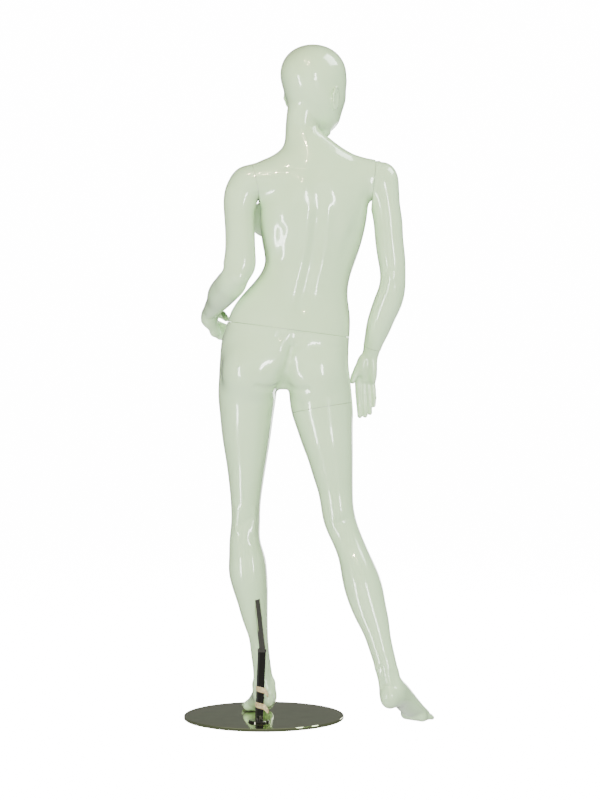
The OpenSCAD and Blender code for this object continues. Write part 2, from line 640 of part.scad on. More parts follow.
// Finger through a list of [point, radius]
module finger(list) {
    for (i = [0 : len(list) - 2]) hull() { bead(list[i][0], list[i][1]); bead(list[i + 1][0], list[i + 1][1]); }
}
module left_hand() {
    color("ivory") resize([0, 0, 0]) difference() {
        union() {
            hull() {
                place(l_wrist_p, l_wrist_n) translate([0, 0, half_gap]) cylinder(r = 22, h = 4, $fn = 32);
                bead([158, -168, 1060], 17); bead([148, -170, 1080], 15);
            }
            hull() {
                bead([158, -168, 1060], 17); bead([148, -170, 1080], 15);
                bead([150, -196, 1052], 12); bead([146, -178, 1022], 13);
            }
            finger([[[152, -200, 1058], 9.5], [[134, -212, 1052], 8.5], [[108, -206, 1044], 7.5], [[84, -192, 1036], 6]]);
            finger([[[153, -196, 1046], 9.5], [[135, -210, 1038], 8.5], [[106, -204, 1030], 7.5], [[78, -188, 1022], 6]]);
            finger([[[151, -190, 1033], 9.5], [[134, -203, 1024], 8.5], [[107, -197, 1016], 7.5], [[82, -182, 1010], 6]]);
            finger([[[147, -182, 1022], 9], [[132, -192, 1013], 7.5], [[110, -187, 1007], 6.5], [[90, -176, 1003], 5.5]]);
            finger([[[142, -162, 1078], 11], [[128, -168, 1074], 9.5], [[113, -160, 1070], 8.5], [[101, -146, 1068], 6.5]]);
        }
        beyond(l_wrist_p, -l_wrist_n, -half_gap);
        place(l_wrist_p, l_wrist_n) pin_hole();
    }
}
module right_hand() {
    color("ivory") resize([0, 0, 0]) difference() {
        union() {
            hull() {
                place(r_wrist_p, r_wrist_n) translate([0, 0, half_gap]) cylinder(r = 21.5, h = 4, $fn = 32);
                bead([-268, -48, 935], 15); bead([-287, -50, 935], 14);
            }
            hull() {
                bead([-268, -48, 935], 15); bead([-287, -50, 935], 14);
                bead([-252, -53, 893], 11); bead([-287, -56, 893], 10);
            }
            finger([[[-251, -53, 892], 9.5], [[-248, -52, 860], 8.5], [[-248, -48, 830], 7.5], [[-249, -42, 806], 6]]);
            finger([[[-263, -55, 890], 9.5], [[-264, -54, 856], 8.5], [[-266, -50, 824], 7.5], [[-267, -44, 801], 6]]);
            finger([[[-275, -56, 890], 9.5], [[-278, -55, 858], 8.5], [[-279, -51, 828], 7.5], [[-279, -45, 808], 6]]);
            finger([[[-287, -56, 892], 9], [[-291, -55, 868], 7.5], [[-292, -51, 842], 6.5], [[-291, -46, 824], 5.5]]);
            finger([[[-266, -46, 950], 13], [[-249, -43, 925], 10.5], [[-242, -40, 905], 9], [[-241, -36, 890], 7]]);
        }
        beyond(r_wrist_p, -r_wrist_n, -half_gap);
        place(r_wrist_p, r_wrist_n) pin_hole();
    }
}

base_plate();
rod_flange();
flange_screws();
base_tube();
tube_collar();
tape_bands();
clamp_screw();
calf_rod();
pelvis_leg_shell();
calf_socket();
lower_waist_board();
waist_socket();
waist_socket_screws();
upper_thigh_board();
thigh_plate();
thigh_plate_screws();
right_leg_shell();
lower_thigh_board();
thigh_key();
thigh_key_screws();
torso_head_shell();
upper_waist_board();
waist_post();
waist_post_screws();
left_shoulder_board();
left_shoulder_plate();
right_shoulder_board();
right_shoulder_plate();
shoulder_screws();
left_arm_shell();
left_arm_board();
left_arm_key();
left_wrist_socket();
right_arm_shell();
right_arm_board();
right_arm_key();
right_wrist_socket();
left_hand();
left_wrist_pin();
right_hand();
right_wrist_pin();
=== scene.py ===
"""Looks of a full body display figure on a round polished plate.

The figure's skin is one smooth field, built from limbs, balls and shallow ridges. Each shell
is meshed from that field, drawn tight on to it and parted at its seam planes. Lengths in the
forms are millimetres in the frame of the part; meshes are metres.
"""

import json
import logging
import math
from concurrent.futures import ThreadPoolExecutor
from dataclasses import dataclass, field
from enum import Enum

import bmesh
import bpy
import numpy as np
import openvdb as vdb
from mathutils import Matrix, Vector

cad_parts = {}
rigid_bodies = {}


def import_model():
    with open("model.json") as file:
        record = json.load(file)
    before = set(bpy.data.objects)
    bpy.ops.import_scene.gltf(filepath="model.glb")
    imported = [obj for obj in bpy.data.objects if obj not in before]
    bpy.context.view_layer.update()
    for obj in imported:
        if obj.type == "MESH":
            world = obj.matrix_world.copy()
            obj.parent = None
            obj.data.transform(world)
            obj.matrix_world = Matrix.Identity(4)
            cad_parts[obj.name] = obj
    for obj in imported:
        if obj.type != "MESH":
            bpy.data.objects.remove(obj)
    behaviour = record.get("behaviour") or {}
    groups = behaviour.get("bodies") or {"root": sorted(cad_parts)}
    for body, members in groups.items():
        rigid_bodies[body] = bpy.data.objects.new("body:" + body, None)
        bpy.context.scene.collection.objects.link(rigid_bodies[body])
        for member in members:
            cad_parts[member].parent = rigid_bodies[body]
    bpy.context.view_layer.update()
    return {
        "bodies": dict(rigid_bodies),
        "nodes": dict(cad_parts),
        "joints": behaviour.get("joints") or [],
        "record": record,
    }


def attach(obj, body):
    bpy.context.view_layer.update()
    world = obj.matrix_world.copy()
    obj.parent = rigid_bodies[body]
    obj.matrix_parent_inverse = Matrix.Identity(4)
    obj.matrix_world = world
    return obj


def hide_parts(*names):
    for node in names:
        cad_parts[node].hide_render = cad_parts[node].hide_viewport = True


log = logging.getLogger("figure")
MM = 0.001
FAR = 400.0                          # field value that means well outside
COARSE = 3                           # steps between the points of the first, rough grid
NEAR_SKIN = COARSE * 0.87 * 1.3 + 3.2   # steps from the skin within which the grid is exact
SETTLE = 3                           # times a point is moved on to the skin
SAMPLE = 0.5                         # distance over which a slope is measured
JOIN_ROOM = 16                       # room round a form in which it's worked out
RIDGE_BAND = 25                      # distance from the skin at which ridges stop
RIDGE_REACH = 2.6                    # widths at which a ridge has faded out
SEARCH = 260                         # half of the depth in which the skin is looked for
BLOCK = 200000
THREADS = 4
SHARP_EDGE = math.radians(50)


# ------------------------------------------------------------------ forms
def unit(v: np.ndarray) -> np.ndarray:
    """Vector or vectors of length one.

    Args:
        v: a vector, or one in each row.

    Returns:
        The same directions with length one.
    """
    return v / np.maximum(np.linalg.norm(v, axis=-1, keepdims=True), 1e-9)


def natural_spline(s: np.ndarray, rows: np.ndarray, fine: np.ndarray) -> np.ndarray:
    """Smooth curve through rows of numbers.

    Args:
        s: place of each row along the curve, rising.
        rows: one row of values for each place.
        fine: places at which values are wanted.

    Returns:
        One row of values for each wanted place.
    """
    n = len(s)
    h = np.diff(s)
    m = np.zeros((n, n))
    r = np.zeros_like(rows)
    m[0, 0] = m[-1, -1] = 1.0
    for i in range(1, n - 1):
        m[i, i - 1 : i + 2] = h[i - 1], 2 * (h[i - 1] + h[i]), h[i]
        r[i] = 6 * ((rows[i + 1] - rows[i]) / h[i] - (rows[i] - rows[i - 1]) / h[i - 1])
    k = np.linalg.solve(m, r)
    j = np.clip(np.searchsorted(s, fine) - 1, 0, n - 2)
    a = (fine - s[j])[:, None]
    w = h[j][:, None]
    b = w - a
    return (
        k[j] * b**3 / (6 * w) + k[j + 1] * a**3 / (6 * w)
        + (rows[j] / w - k[j] * w / 6) * b + (rows[j + 1] / w - k[j + 1] * w / 6) * a
    )


def smooth_min(a: np.ndarray, b: np.ndarray, k: float) -> np.ndarray:
    """Union of two fields with a fillet of about k millimetres.

    Args:
        a: first field.
        b: second field.
        k: size of the fillet.

    Returns:
        The joined field.
    """
    h = np.clip(0.5 + 0.5 * (b - a) / k, 0.0, 1.0)
    return b * (1 - h) + a * h - k * h * (1 - h)


class Form:
    """A shape given by a field that is negative inside it, in millimetres."""

    low: np.ndarray
    high: np.ndarray

    def dist(self, p: np.ndarray) -> np.ndarray:
        """Field at the points.

        Args:
            p: points, one in each row.

        Returns:
            The value at each point.
        """
        raise NotImplementedError


class Limb(Form):
    """A round-ended limb through stations [x, y, z, side, front, back, turn]."""

    def __init__(self, rows: list, side: tuple = (1, 0, 0), flat: bool = True, power: float = 2.0) -> None:
        """Fits a smooth path through the stations.

        Args:
            rows: the stations, in order.
            side: direction in which the side half-width is measured.
            flat: True if all sections lie level, False if they lie square to the path.
            power: 2 for an ellipse, more for a squarer section.
        """
        a = np.array(rows, float)
        self.flat = flat
        self.power = power
        self.side = unit(np.array(side, float))
        if flat and a[0, 2] > a[-1, 2]:
            a = a[::-1]
        s = a[:, 2] if flat else np.r_[0, np.cumsum(np.linalg.norm(np.diff(a[:, :3], axis=0), axis=1))]
        self.s = np.linspace(s[0], s[-1], max(40, int((s[-1] - s[0]) / 1.5)))
        self.t = natural_spline(s, a, self.s)
        self.t[:, 3:6] = np.maximum(self.t[:, 3:6], 2.0)
        r = self.t[:, 3:6].max(axis=1)[:, None]
        self.low = (self.t[:, :3] - r).min(axis=0)
        self.high = (self.t[:, :3] + r).max(axis=0)
        if not flat:
            self.dir = unit(np.gradient(self.t[:, :3], axis=0))

    def dist(self, p: np.ndarray) -> np.ndarray:
        """Field at the points.

        Args:
            p: points, one in each row.

        Returns:
            The value at each point.
        """
        if self.flat:
            s = np.clip(p[:, 2], self.s[0], self.s[-1])
            row = np.stack([np.interp(s, self.s, self.t[:, i]) for i in range(7)], axis=1)
            c, sn = np.cos(np.radians(row[:, 6])), np.sin(np.radians(row[:, 6]))
            dx, dy = p[:, 0] - row[:, 0], p[:, 1] - row[:, 1]
            x, y = dx * c + dy * sn, dy * c - dx * sn
            over = p[:, 2] - s
        else:
            step = max(1, len(self.s) // 70)
            coarse = self.t[::step, :3]
            best = np.empty(len(p), int)
            for i in range(0, len(p), BLOCK):
                q = p[i : i + BLOCK]
                d = (q * q).sum(1)[:, None] - 2 * q @ coarse.T + (coarse * coarse).sum(1)[None, :]
                best[i : i + BLOCK] = d.argmin(axis=1) * step
            best = np.minimum(best, len(self.s) - 1)
            s = self.s[best]
            for _ in range(SETTLE):
                c = np.stack([np.interp(s, self.s, self.t[:, i]) for i in range(3)], axis=1)
                n = unit(np.stack([np.interp(s, self.s, self.dir[:, i]) for i in range(3)], axis=1))
                s = np.clip(s + ((p - c) * n).sum(1), self.s[0], self.s[-1])
            row = np.stack([np.interp(s, self.s, self.t[:, i]) for i in range(7)], axis=1)
            n = unit(np.stack([np.interp(s, self.s, self.dir[:, i]) for i in range(3)], axis=1))
            u = unit(self.side - (n @ self.side)[:, None] * n)
            q = p - row[:, :3]
            x, y, over = (q * u).sum(1), (q * np.cross(n, u)).sum(1), (q * n).sum(1)
        a = row[:, 3]
        b = np.where(y < 0, row[:, 4], row[:, 5])
        e = over / np.minimum(a, b)
        if self.power == 2.0:
            k0 = np.sqrt((x / a) ** 2 + (y / b) ** 2 + e * e)
        else:
            w = self.power
            k0 = (np.abs(x / a) ** w + np.abs(y / b) ** w + np.abs(e) ** w) ** (1 / w)
        k1 = np.sqrt((x / a**2) ** 2 + (y / b**2) ** 2 + (e / np.minimum(a, b)) ** 2) + 1e-6
        return np.minimum(k0 * (k0 - 1) / k1, FAR)


class Ball(Form):
    """An ellipsoid."""

    def __init__(self, centre: tuple, radii: tuple, turn: float = 0.0, lean: float = 0.0) -> None:
        """Sets its place and turn.

        Args:
            centre: its centre.
            radii: its half-sizes.
            turn: turn about the upright, in degrees.
            lean: turn about the side axis, in degrees.
        """
        self.c = np.array(centre, float)
        self.r = np.array(radii, float)
        m = Matrix.Rotation(math.radians(turn), 3, "Z") @ Matrix.Rotation(math.radians(lean), 3, "X")
        self.m = np.array(m)
        self.low = self.c - self.r.max()
        self.high = self.c + self.r.max()

    def dist(self, p: np.ndarray) -> np.ndarray:
        """Field at the points.

        Args:
            p: points, one in each row.

        Returns:
            The value at each point.
        """
        q = (p - self.c) @ self.m
        k0 = np.sqrt(((q / self.r) ** 2).sum(1))
        k1 = np.sqrt(((q / self.r**2) ** 2).sum(1)) + 1e-6
        return k0 * (k0 - 1) / k1


class Bone(Form):
    """A round rod that tapers evenly from one ball to the next, through several balls."""

    def __init__(self, points: list, radii: list) -> None:
        """Sets the balls.

        Args:
            points: their centres.
            radii: their radii.
        """
        self.p = np.array(points, float)
        self.r = np.array(radii, float)
        self.low = (self.p - self.r[:, None]).min(axis=0)
        self.high = (self.p + self.r[:, None]).max(axis=0)

    def dist(self, p: np.ndarray) -> np.ndarray:
        """Field at the points.

        Args:
            p: points, one in each row.

        Returns:
            The value at each point.
        """
        best = np.full(len(p), FAR)
        for i in range(len(self.p) - 1):
            a, b = self.p[i], self.p[i + 1]
            ab = b - a
            t = np.clip(((p - a) @ ab) / (ab @ ab), 0.0, 1.0)
            r = self.r[i] + t * (self.r[i + 1] - self.r[i])
            d = np.linalg.norm(p - a - t[:, None] * ab, axis=1) - r
            best = d if i == 0 else smooth_min(best, d, 2.0)
        return best


@dataclass
class Ridge:
    """A shallow swelling or furrow along a line on the skin.

    Attributes:
        points: the line.
        width: distance over which it fades.
        height: how far it stands out; negative for a furrow.
    """

    points: list
    width: float
    height: float

    def lift(self, p: np.ndarray) -> np.ndarray:
        """How far the skin moves out at each point.

        Args:
            p: points, one in each row.

        Returns:
            The rise at each point.
        """
        pts = np.array(self.points, float)
        best = np.full(len(p), FAR)
        if len(pts) == 1:
            best = np.linalg.norm(p - pts[0], axis=1)
        for i in range(len(pts) - 1):
            a, b = pts[i], pts[i + 1]
            ab = b - a
            t = np.clip(((p - a) @ ab) / (ab @ ab), 0.0, 1.0)
            d = np.linalg.norm(p - a - t[:, None] * ab, axis=1)
            best = d if i == 0 else smooth_min(best, d, self.width * 0.3)
        return self.height * np.exp(-np.maximum(best, 0) ** 2 / self.width**2)


class Body:
    """A smooth union of forms with ridges on it."""

    def __init__(self) -> None:
        """Starts with nothing in it."""
        self.parts: list = []
        self.ridges: list = []

    def add(self, form: Form, blend: float, fade: tuple | None = None) -> "Body":
        """Joins a form on.

        Args:
            form: what is joined.
            blend: fillet, in millimetres.
            fade: (z, slope): below z the form draws back at this slope.

        Returns:
            The body itself.
        """
        self.parts.append((form, blend, fade))
        return self

    def ridge(self, points: list, width: float, height: float, side: str = "") -> "Body":
        """Adds a ridge; with a side its points are (x, z) and are laid on that side of the skin.

        Args:
            points: the line, as (x, y, z), or as (x, z) when a side is given.
            width: distance over which it fades.
            height: how far it stands out.
            side: "back", "front" or nothing.

        Returns:
            The body itself.
        """
        if side:
            points = [self.on_skin(x, z, side) for x, z in points]
        self.ridges.append(Ridge(points, width, height))
        return self

    def on_skin(self, x: float, z: float, side: str) -> tuple:
        """Point of the skin at x and z, seen from the back or the front.

        Args:
            x: place across.
            z: height.
            side: "back" or "front".

        Returns:
            The point.
        """
        ys = np.linspace(SEARCH, -SEARCH, 2 * SEARCH + 1) * (1 if side == "back" else -1)
        p = np.stack([np.full(len(ys), x), ys, np.full(len(ys), z)], axis=1)
        d = self.dist(p, False)
        i = int(np.argmax(d < 0)) if (d < 0).any() else int(np.argmin(d))
        return (x, float(ys[i]), z)

    def dist(self, p: np.ndarray, ridges: bool = True) -> np.ndarray:
        """Field at the points.

        Args:
            p: points, one in each row.
            ridges: whether the ridges are counted.

        Returns:
            The value at each point.
        """
        out = np.full(len(p), FAR)
        for form, blend, fade in self.parts:
            room = blend + JOIN_ROOM
            near = np.all((p > form.low - room) & (p < form.high + room), axis=1)
            if not near.any():
                continue
            q = p[near]
            d = form.dist(q)
            if fade is not None:
                d = d + np.maximum(0.0, fade[0] - q[:, 2]) * fade[1]
            out[near] = smooth_min(out[near], d, blend)
        if ridges:
            near = np.abs(out) < RIDGE_BAND
            q = p[near]
            for r in self.ridges:
                pts = np.array(r.points, float)
                reach = r.width * RIDGE_REACH
                box = np.all((q > pts.min(0) - reach) & (q < pts.max(0) + reach), axis=1)
                if box.any():
                    idx = np.flatnonzero(near)[box]
                    out[idx] -= r.lift(p[idx])
        return out


def field_at(body: Body, points: np.ndarray) -> np.ndarray:
    """Field of a body at many points, worked out in equal shares side by side.

    Args:
        body: the body.
        points: points, one in each row.

    Returns:
        The value at each point.
    """
    with ThreadPoolExecutor(THREADS) as pool:
        return np.concatenate(list(pool.map(body.dist, np.array_split(points, 4 * THREADS))))


def skin_mesh(body: Body, low: tuple, high: tuple, step: float) -> tuple[np.ndarray, np.ndarray]:
    """Closed mesh of a body inside a box.

    Args:
        body: the field.
        low: lowest corner of the box.
        high: highest corner of the box.
        step: spacing of the mesh.

    Returns:
        Points in millimetres and quads.
    """
    low, high = np.array(low, float), np.array(high, float)
    n = np.ceil((high - low) / step).astype(int) + 1
    coarse = [np.arange(0, n[i] + COARSE, COARSE) for i in range(3)]
    cells = np.stack(np.meshgrid(*coarse, indexing="ij"), axis=-1).reshape(-1, 3)
    rough = field_at(body, low + step * cells).reshape([len(c) for c in coarse])
    pick = [np.minimum(np.rint(np.arange(n[i]) / COARSE).astype(int), len(coarse[i]) - 1) for i in range(3)]
    values = rough[np.ix_(*pick)].astype(np.float32)
    near = np.argwhere(np.abs(values) < step * NEAR_SKIN)
    values[near[:, 0], near[:, 1], near[:, 2]] = field_at(body, low + step * near)
    values[[0, -1], :, :] = np.maximum(values[[0, -1], :, :], step)
    values[:, [0, -1], :] = np.maximum(values[:, [0, -1], :], step)
    values[:, :, [0, -1]] = np.maximum(values[:, :, [0, -1]], step)
    grid = vdb.FloatGrid(FAR)
    grid.copyFromArray(np.clip(values, -3 * step, 3 * step).astype(np.float32))
    pts, quads = grid.convertToQuads(isovalue=0.0)
    pts = pts.astype(float) * step + low
    corners = np.array([[1, -1, -1], [-1, -1, 1], [-1, 1, -1], [1, 1, 1]], float)
    margin = 1.2 * step
    inside = np.all((pts > low + margin) & (pts < high - margin), axis=1)
    for _ in range(SETTLE):
        q = pts[inside]
        samples = [field_at(body, q + SAMPLE * c) for c in corners]
        g = sum(s[:, None] * c for s, c in zip(samples, corners)) / (4 * SAMPLE)
        move = (sum(samples) / 4)[:, None] * g / np.maximum((g * g).sum(1), 0.05)[:, None]
        size = np.linalg.norm(move, axis=1, keepdims=True)
        pts[inside] = q - move * np.minimum(1.0, step / np.maximum(size, 1e-9))
    return pts, quads


# ------------------------------------------------------------------ meshes
@dataclass(frozen=True)
class Seam:
    """A plane where two shells part.

    Attributes:
        point: a point on it, in millimetres.
        normal: its direction, away from the shell that is kept.
        over: only faces above this height are cut.
        gap: distance from the plane to the cut.
        right_of: only faces whose x is less than this are cut.
    """

    point: tuple
    normal: tuple
    over: float = -1.0
    gap: float = 0.4
    right_of: float = FAR

    def flipped(self) -> "Seam":
        """The same seam, seen from the other shell.

        Returns:
            The flipped seam.
        """
        return Seam(self.point, tuple(-x for x in self.normal), self.over, self.gap)

    def cuts(self, face: bmesh.types.BMFace) -> bool:
        """Whether the face lies where the seam cuts.

        Args:
            face: a face of the shell.

        Returns:
            True if it does.
        """
        low = min(v.co.z for v in face.verts) / MM
        return low > self.over and max(v.co.x for v in face.verts) / MM < self.right_of


def new_mesh(name: str, bm: bmesh.types.BMesh) -> bpy.types.Mesh:
    """Mesh with what was drawn, which is let go.

    Args:
        name: name of the mesh.
        bm: what was drawn.

    Returns:
        The mesh.
    """
    mesh = bpy.data.meshes.new(name)
    bm.to_mesh(mesh)
    bm.free()
    return mesh


def link(name: str, mesh: bpy.types.Mesh) -> bpy.types.Object:
    """New object in the scene that shows the mesh.

    Args:
        name: name of the object.
        mesh: its mesh.

    Returns:
        The object.
    """
    obj = bpy.data.objects.new(name, mesh)
    bpy.context.scene.collection.objects.link(obj)
    return obj


def biggest_shell(bm: bmesh.types.BMesh) -> None:
    """Deletes every loose part but the largest.

    Args:
        bm: the mesh.
    """
    seen: set = set()
    groups = []
    for start in bm.verts:
        if start in seen:
            continue
        seen.add(start)
        stack, group = [start], []
        while stack:
            v = stack.pop()
            group.append(v)
            for e in v.link_edges:
                w = e.other_vert(v)
                if w not in seen:
                    seen.add(w)
                    stack.append(w)
        groups.append(group)
    groups.sort(key=len)
    for group in groups[:-1]:
        bmesh.ops.delete(bm, geom=group, context="VERTS")


def close_rim(bm: bmesh.types.BMesh, edges: list, normal: Vector, wall: float, depth: float) -> None:
    """Closes a cut rim with the thickness of the wall and a floor set back inside it.

    Args:
        bm: the mesh.
        edges: the edges of the rim.
        normal: direction out of the rim.
        wall: thickness of the wall, in metres.
        depth: how far back the floor lies, in metres.
    """
    loop = set(edges)
    start = edges[0].verts[0]
    ordered, v = [start], start
    used: set = set()
    while True:
        step = next((e for e in v.link_edges if e in loop and e not in used), None)
        if step is None:
            break
        used.add(step)
        v = step.other_vert(v)
        if v is start:
            break
        ordered.append(v)
    centre = sum((v.co for v in ordered), Vector()) / len(ordered)
    if depth <= 0:
        bm.faces.new(ordered)
        return
    inner = [bm.verts.new(v.co + (centre - v.co).normalized() * wall) for v in ordered]
    floor = [bm.verts.new(v.co - normal * depth) for v in inner]
    n = len(ordered)
    for a, b in ((ordered, inner), (inner, floor)):
        for i in range(n):
            bm.faces.new((a[i], a[(i + 1) % n], b[(i + 1) % n], b[i]))
    bm.faces.new(floor)


def shell(name: str, body: Body, box: tuple, step: float, seams: list, wall: float = 4.5,
          depth: float = 5.0) -> bpy.types.Object:
    """Meshes one shell of the figure and parts it at its seams.

    Args:
        name: name of the piece.
        body: its field.
        box: lowest and highest corner to mesh, in millimetres.
        step: spacing of the mesh, in millimetres.
        seams: the seams it ends at.
        wall: thickness seen at the rim.
        depth: how far the closing floor is set back.

    Returns:
        The piece.
    """
    pts, quads = skin_mesh(body, box[0], box[1], step)
    mesh = bpy.data.meshes.new(name)
    mesh.from_pydata((pts * MM).tolist(), [], quads.tolist())
    bm = bmesh.new()
    bm.from_mesh(mesh)
    for s in seams:
        n = Vector(s.normal).normalized()
        co = Vector(s.point) * MM - n * s.gap * MM
        faces = [f for f in bm.faces if s.cuts(f)]
        geom = list({v for f in faces for v in f.verts} | {e for f in faces for e in f.edges}) + faces
        cut = bmesh.ops.bisect_plane(bm, geom=geom, plane_co=co, plane_no=n, dist=1e-6, clear_outer=True)
        biggest_shell(bm)
        rim = [g for g in cut["geom_cut"]
               if isinstance(g, bmesh.types.BMEdge) and g.is_valid and g.is_boundary]
        rim = [e for e in bm.edges if e.is_boundary] if not rim else rim
        if rim:
            close_rim(bm, rim, n, wall * MM, depth * MM)
    biggest_shell(bm)
    bmesh.ops.remove_doubles(bm, verts=bm.verts, dist=1e-6)
    bmesh.ops.recalc_face_normals(bm, faces=bm.faces)
    for f in bm.faces:
        f.smooth = True
    for e in bm.edges:
        if len(e.link_faces) == 2 and e.calc_face_angle(0.0) > SHARP_EDGE:
            e.smooth = False
    bm.to_mesh(mesh)
    bm.free()
    mesh.update()
    log.info("%s: %d faces", name, len(mesh.polygons))
    return link(name, mesh)


# ------------------------------------------------------------------ finishes
class Tree:
    """Short way of building a node material."""

    def __init__(self, name: str) -> None:
        """Starts a material with one shader.

        Args:
            name: name of the material.
        """
        self.mat = bpy.data.materials.new(name)
        self.mat.use_nodes = True
        self.nodes = self.mat.node_tree.nodes
        self.links = self.mat.node_tree.links
        self.shader = self.nodes["Principled BSDF"]

    def node(self, kind: str, **values: object) -> bpy.types.Node:
        """New node with some of its inputs set by name.

        Args:
            kind: type of the node.
            **values: values of its inputs.

        Returns:
            The node.
        """
        n = self.nodes.new(kind)
        for key, value in values.items():
            n.inputs[key.replace("_", " ")].default_value = value
        return n

    def join(self, a: bpy.types.NodeSocket, b: bpy.types.NodeSocket) -> None:
        """Links two sockets.

        Args:
            a: the output.
            b: the input.
        """
        self.links.new(a, b)

    def put(self, **values: object) -> None:
        """Sets sockets of the shader.

        Args:
            **values: values by name of socket.
        """
        for key, value in values.items():
            self.shader.inputs[key.replace("_", " ")].default_value = value

    def noise(self, scale: float, detail: float = 3.0) -> bpy.types.NodeSocket:
        """Noise in the object's own space.

        Args:
            scale: how fine it is.
            detail: how many octaves it has.

        Returns:
            The socket of the noise.
        """
        place = self.nodes.new("ShaderNodeTexCoord")
        n = self.node("ShaderNodeTexNoise", Scale=scale, Detail=detail)
        self.join(place.outputs["Object"], n.inputs["Vector"])
        return n.outputs["Fac"]

    def ramp(self, source: bpy.types.NodeSocket, low: tuple, high: tuple, a: float = 0.35,
             b: float = 0.65) -> bpy.types.NodeSocket:
        """Colour between two colours as the source rises.

        Args:
            source: what drives it.
            low: colour at the low end.
            high: colour at the high end.
            a: where the change starts.
            b: where the change ends.

        Returns:
            The socket of the colour.
        """
        n = self.nodes.new("ShaderNodeValToRGB")
        n.color_ramp.elements[0].position = a
        n.color_ramp.elements[1].position = b
        n.color_ramp.elements[0].color = (*low, 1)
        n.color_ramp.elements[1].color = (*high, 1)
        self.join(source, n.inputs["Fac"])
        return n.outputs["Color"]

    def span(self, source: bpy.types.NodeSocket, low: float, high: float) -> bpy.types.NodeSocket:
        """Number between two numbers as the source goes from 0.3 to 0.7.

        Args:
            source: what drives it.
            low: number at the low end.
            high: number at the high end.

        Returns:
            The socket of the number.
        """
        n = self.nodes.new("ShaderNodeMapRange")
        n.inputs["From Min"].default_value = 0.3
        n.inputs["From Max"].default_value = 0.7
        n.inputs["To Min"].default_value = low
        n.inputs["To Max"].default_value = high
        self.join(source, n.inputs["Value"])
        return n.outputs["Result"]

    def bump(self, source: bpy.types.NodeSocket, depth: float) -> None:
        """Relief of the given depth in metres.

        Args:
            source: height of the relief.
            depth: its depth, in metres.
        """
        n = self.node("ShaderNodeBump", Strength=1.0, Distance=depth)
        self.join(source, n.inputs["Height"])
        self.join(n.outputs["Normal"], self.shader.inputs["Normal"])


@dataclass(frozen=True)
class Lacquer:
    """Sprayed and polished gloss lacquer.

    Attributes:
        light: lighter colour of its slight mottle.
        dark: darker colour of it.
    """

    light: tuple = (0.60, 0.82, 0.49)
    dark: tuple = (0.58, 0.80, 0.47)

    def make(self) -> bpy.types.Material:
        """The material.

        Returns:
            The material.
        """
        t = Tree("gloss_lacquer")
        t.join(t.ramp(t.noise(9.0), self.dark, self.light), t.shader.inputs["Base Color"])
        t.join(t.span(t.noise(60.0), 0.16, 0.24), t.shader.inputs["Roughness"])
        t.put(IOR=1.5, Coat_Weight=1.0, Coat_Roughness=0.02, Coat_IOR=1.55, Specular_IOR_Level=0.5)
        t.bump(t.noise(220.0, 2.0), 0.000004)
        return t.mat


@dataclass(frozen=True)
class Metal:
    """Plated or polished metal.

    Attributes:
        name: name of the material.
        colour: its tint.
        rough: lowest and highest roughness.
        grain: how fine its relief is.
        relief: depth of the relief, in metres.
    """

    name: str
    colour: tuple
    rough: tuple
    grain: float = 300.0
    relief: float = 0.000004

    def make(self) -> bpy.types.Material:
        """The material.

        Returns:
            The material.
        """
        t = Tree(self.name)
        shade = tuple(0.92 * c for c in self.colour)
        t.join(t.ramp(t.noise(24.0), shade, self.colour), t.shader.inputs["Base Color"])
        t.join(t.span(t.noise(90.0, 5.0), *self.rough), t.shader.inputs["Roughness"])
        t.put(Metallic=1.0)
        t.bump(t.noise(self.grain), self.relief)
        return t.mat


@dataclass(frozen=True)
class Plywood:
    """Raw birch board with its grain.

    Attributes:
        light: colour between the grain.
        dark: colour of the grain.
    """

    light: tuple = (0.62, 0.46, 0.28)
    dark: tuple = (0.45, 0.31, 0.17)

    def make(self) -> bpy.types.Material:
        """The material.

        Returns:
            The material.
        """
        t = Tree("raw_plywood")
        place = t.nodes.new("ShaderNodeTexCoord")
        scale = t.nodes.new("ShaderNodeMapping")
        scale.inputs["Scale"].default_value = (6.0, 90.0, 90.0)
        t.join(place.outputs["Object"], scale.inputs["Vector"])
        n = t.node("ShaderNodeTexNoise", Scale=2.0, Detail=6.0)
        t.join(scale.outputs["Vector"], n.inputs["Vector"])
        t.join(t.ramp(n.outputs["Fac"], self.dark, self.light), t.shader.inputs["Base Color"])
        t.put(Roughness=0.75)
        t.bump(n.outputs["Fac"], 0.0002)
        return t.mat


@dataclass(frozen=True)
class PaperTape:
    """Creased cream tape.

    Attributes:
        light: colour of the paper.
        dark: painted shade of its creases, laid in patches by noise.
    """

    light: tuple = (0.62, 0.53, 0.31)
    dark: tuple = (0.46, 0.35, 0.17)

    def make(self) -> bpy.types.Material:
        """The material.

        Returns:
            The material.
        """
        t = Tree("paper_tape")
        # Noise mixes the paper colour with the painted crease shade.
        t.join(t.ramp(t.noise(110.0, 6.0), self.dark, self.light), t.shader.inputs["Base Color"])
        t.put(Roughness=0.8)
        t.bump(t.noise(420.0, 6.0), 0.0006)
        return t.mat


# ------------------------------------------------------------------ seams of the figure
WAIST = Seam((-66, 2, 1032), (0.129, 0, -0.992))
THIGH = Seam((-160, 8, 825), (-0.17, 0.06, -0.983))
LEFT_SHOULDER = Seam((22, 40, 1417), (0.971, 0.107, -0.214), over=1366)
RIGHT_SHOULDER = Seam((-292, -14, 1428), (-0.995, 0, -0.1), over=1366)
LEFT_WRIST = Seam((150, -137, 1083), (0.33, -0.88, -0.34))
RIGHT_WRIST = Seam((-288, -44, 984), (0.275, -0.22, -0.936))
SHOULDER_BLEND = (9.0, (1392, 1.2))


def gloss(piece: bpy.types.Object, lacquer: bpy.types.Material, body: str, node: str) -> None:
    """Gives a shell its finish and its body, and hides the node it stands for.

    Args:
        piece: the shell.
        lacquer: its finish.
        body: name of the body it rides on.
        node: name of the node it replaces.
    """
    piece.data.materials.append(lacquer)
    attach(piece, body)
    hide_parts(node)


class Side(Enum):
    """Which of a pair, as the figure itself would say."""

    LEFT = "left"
    RIGHT = "right"


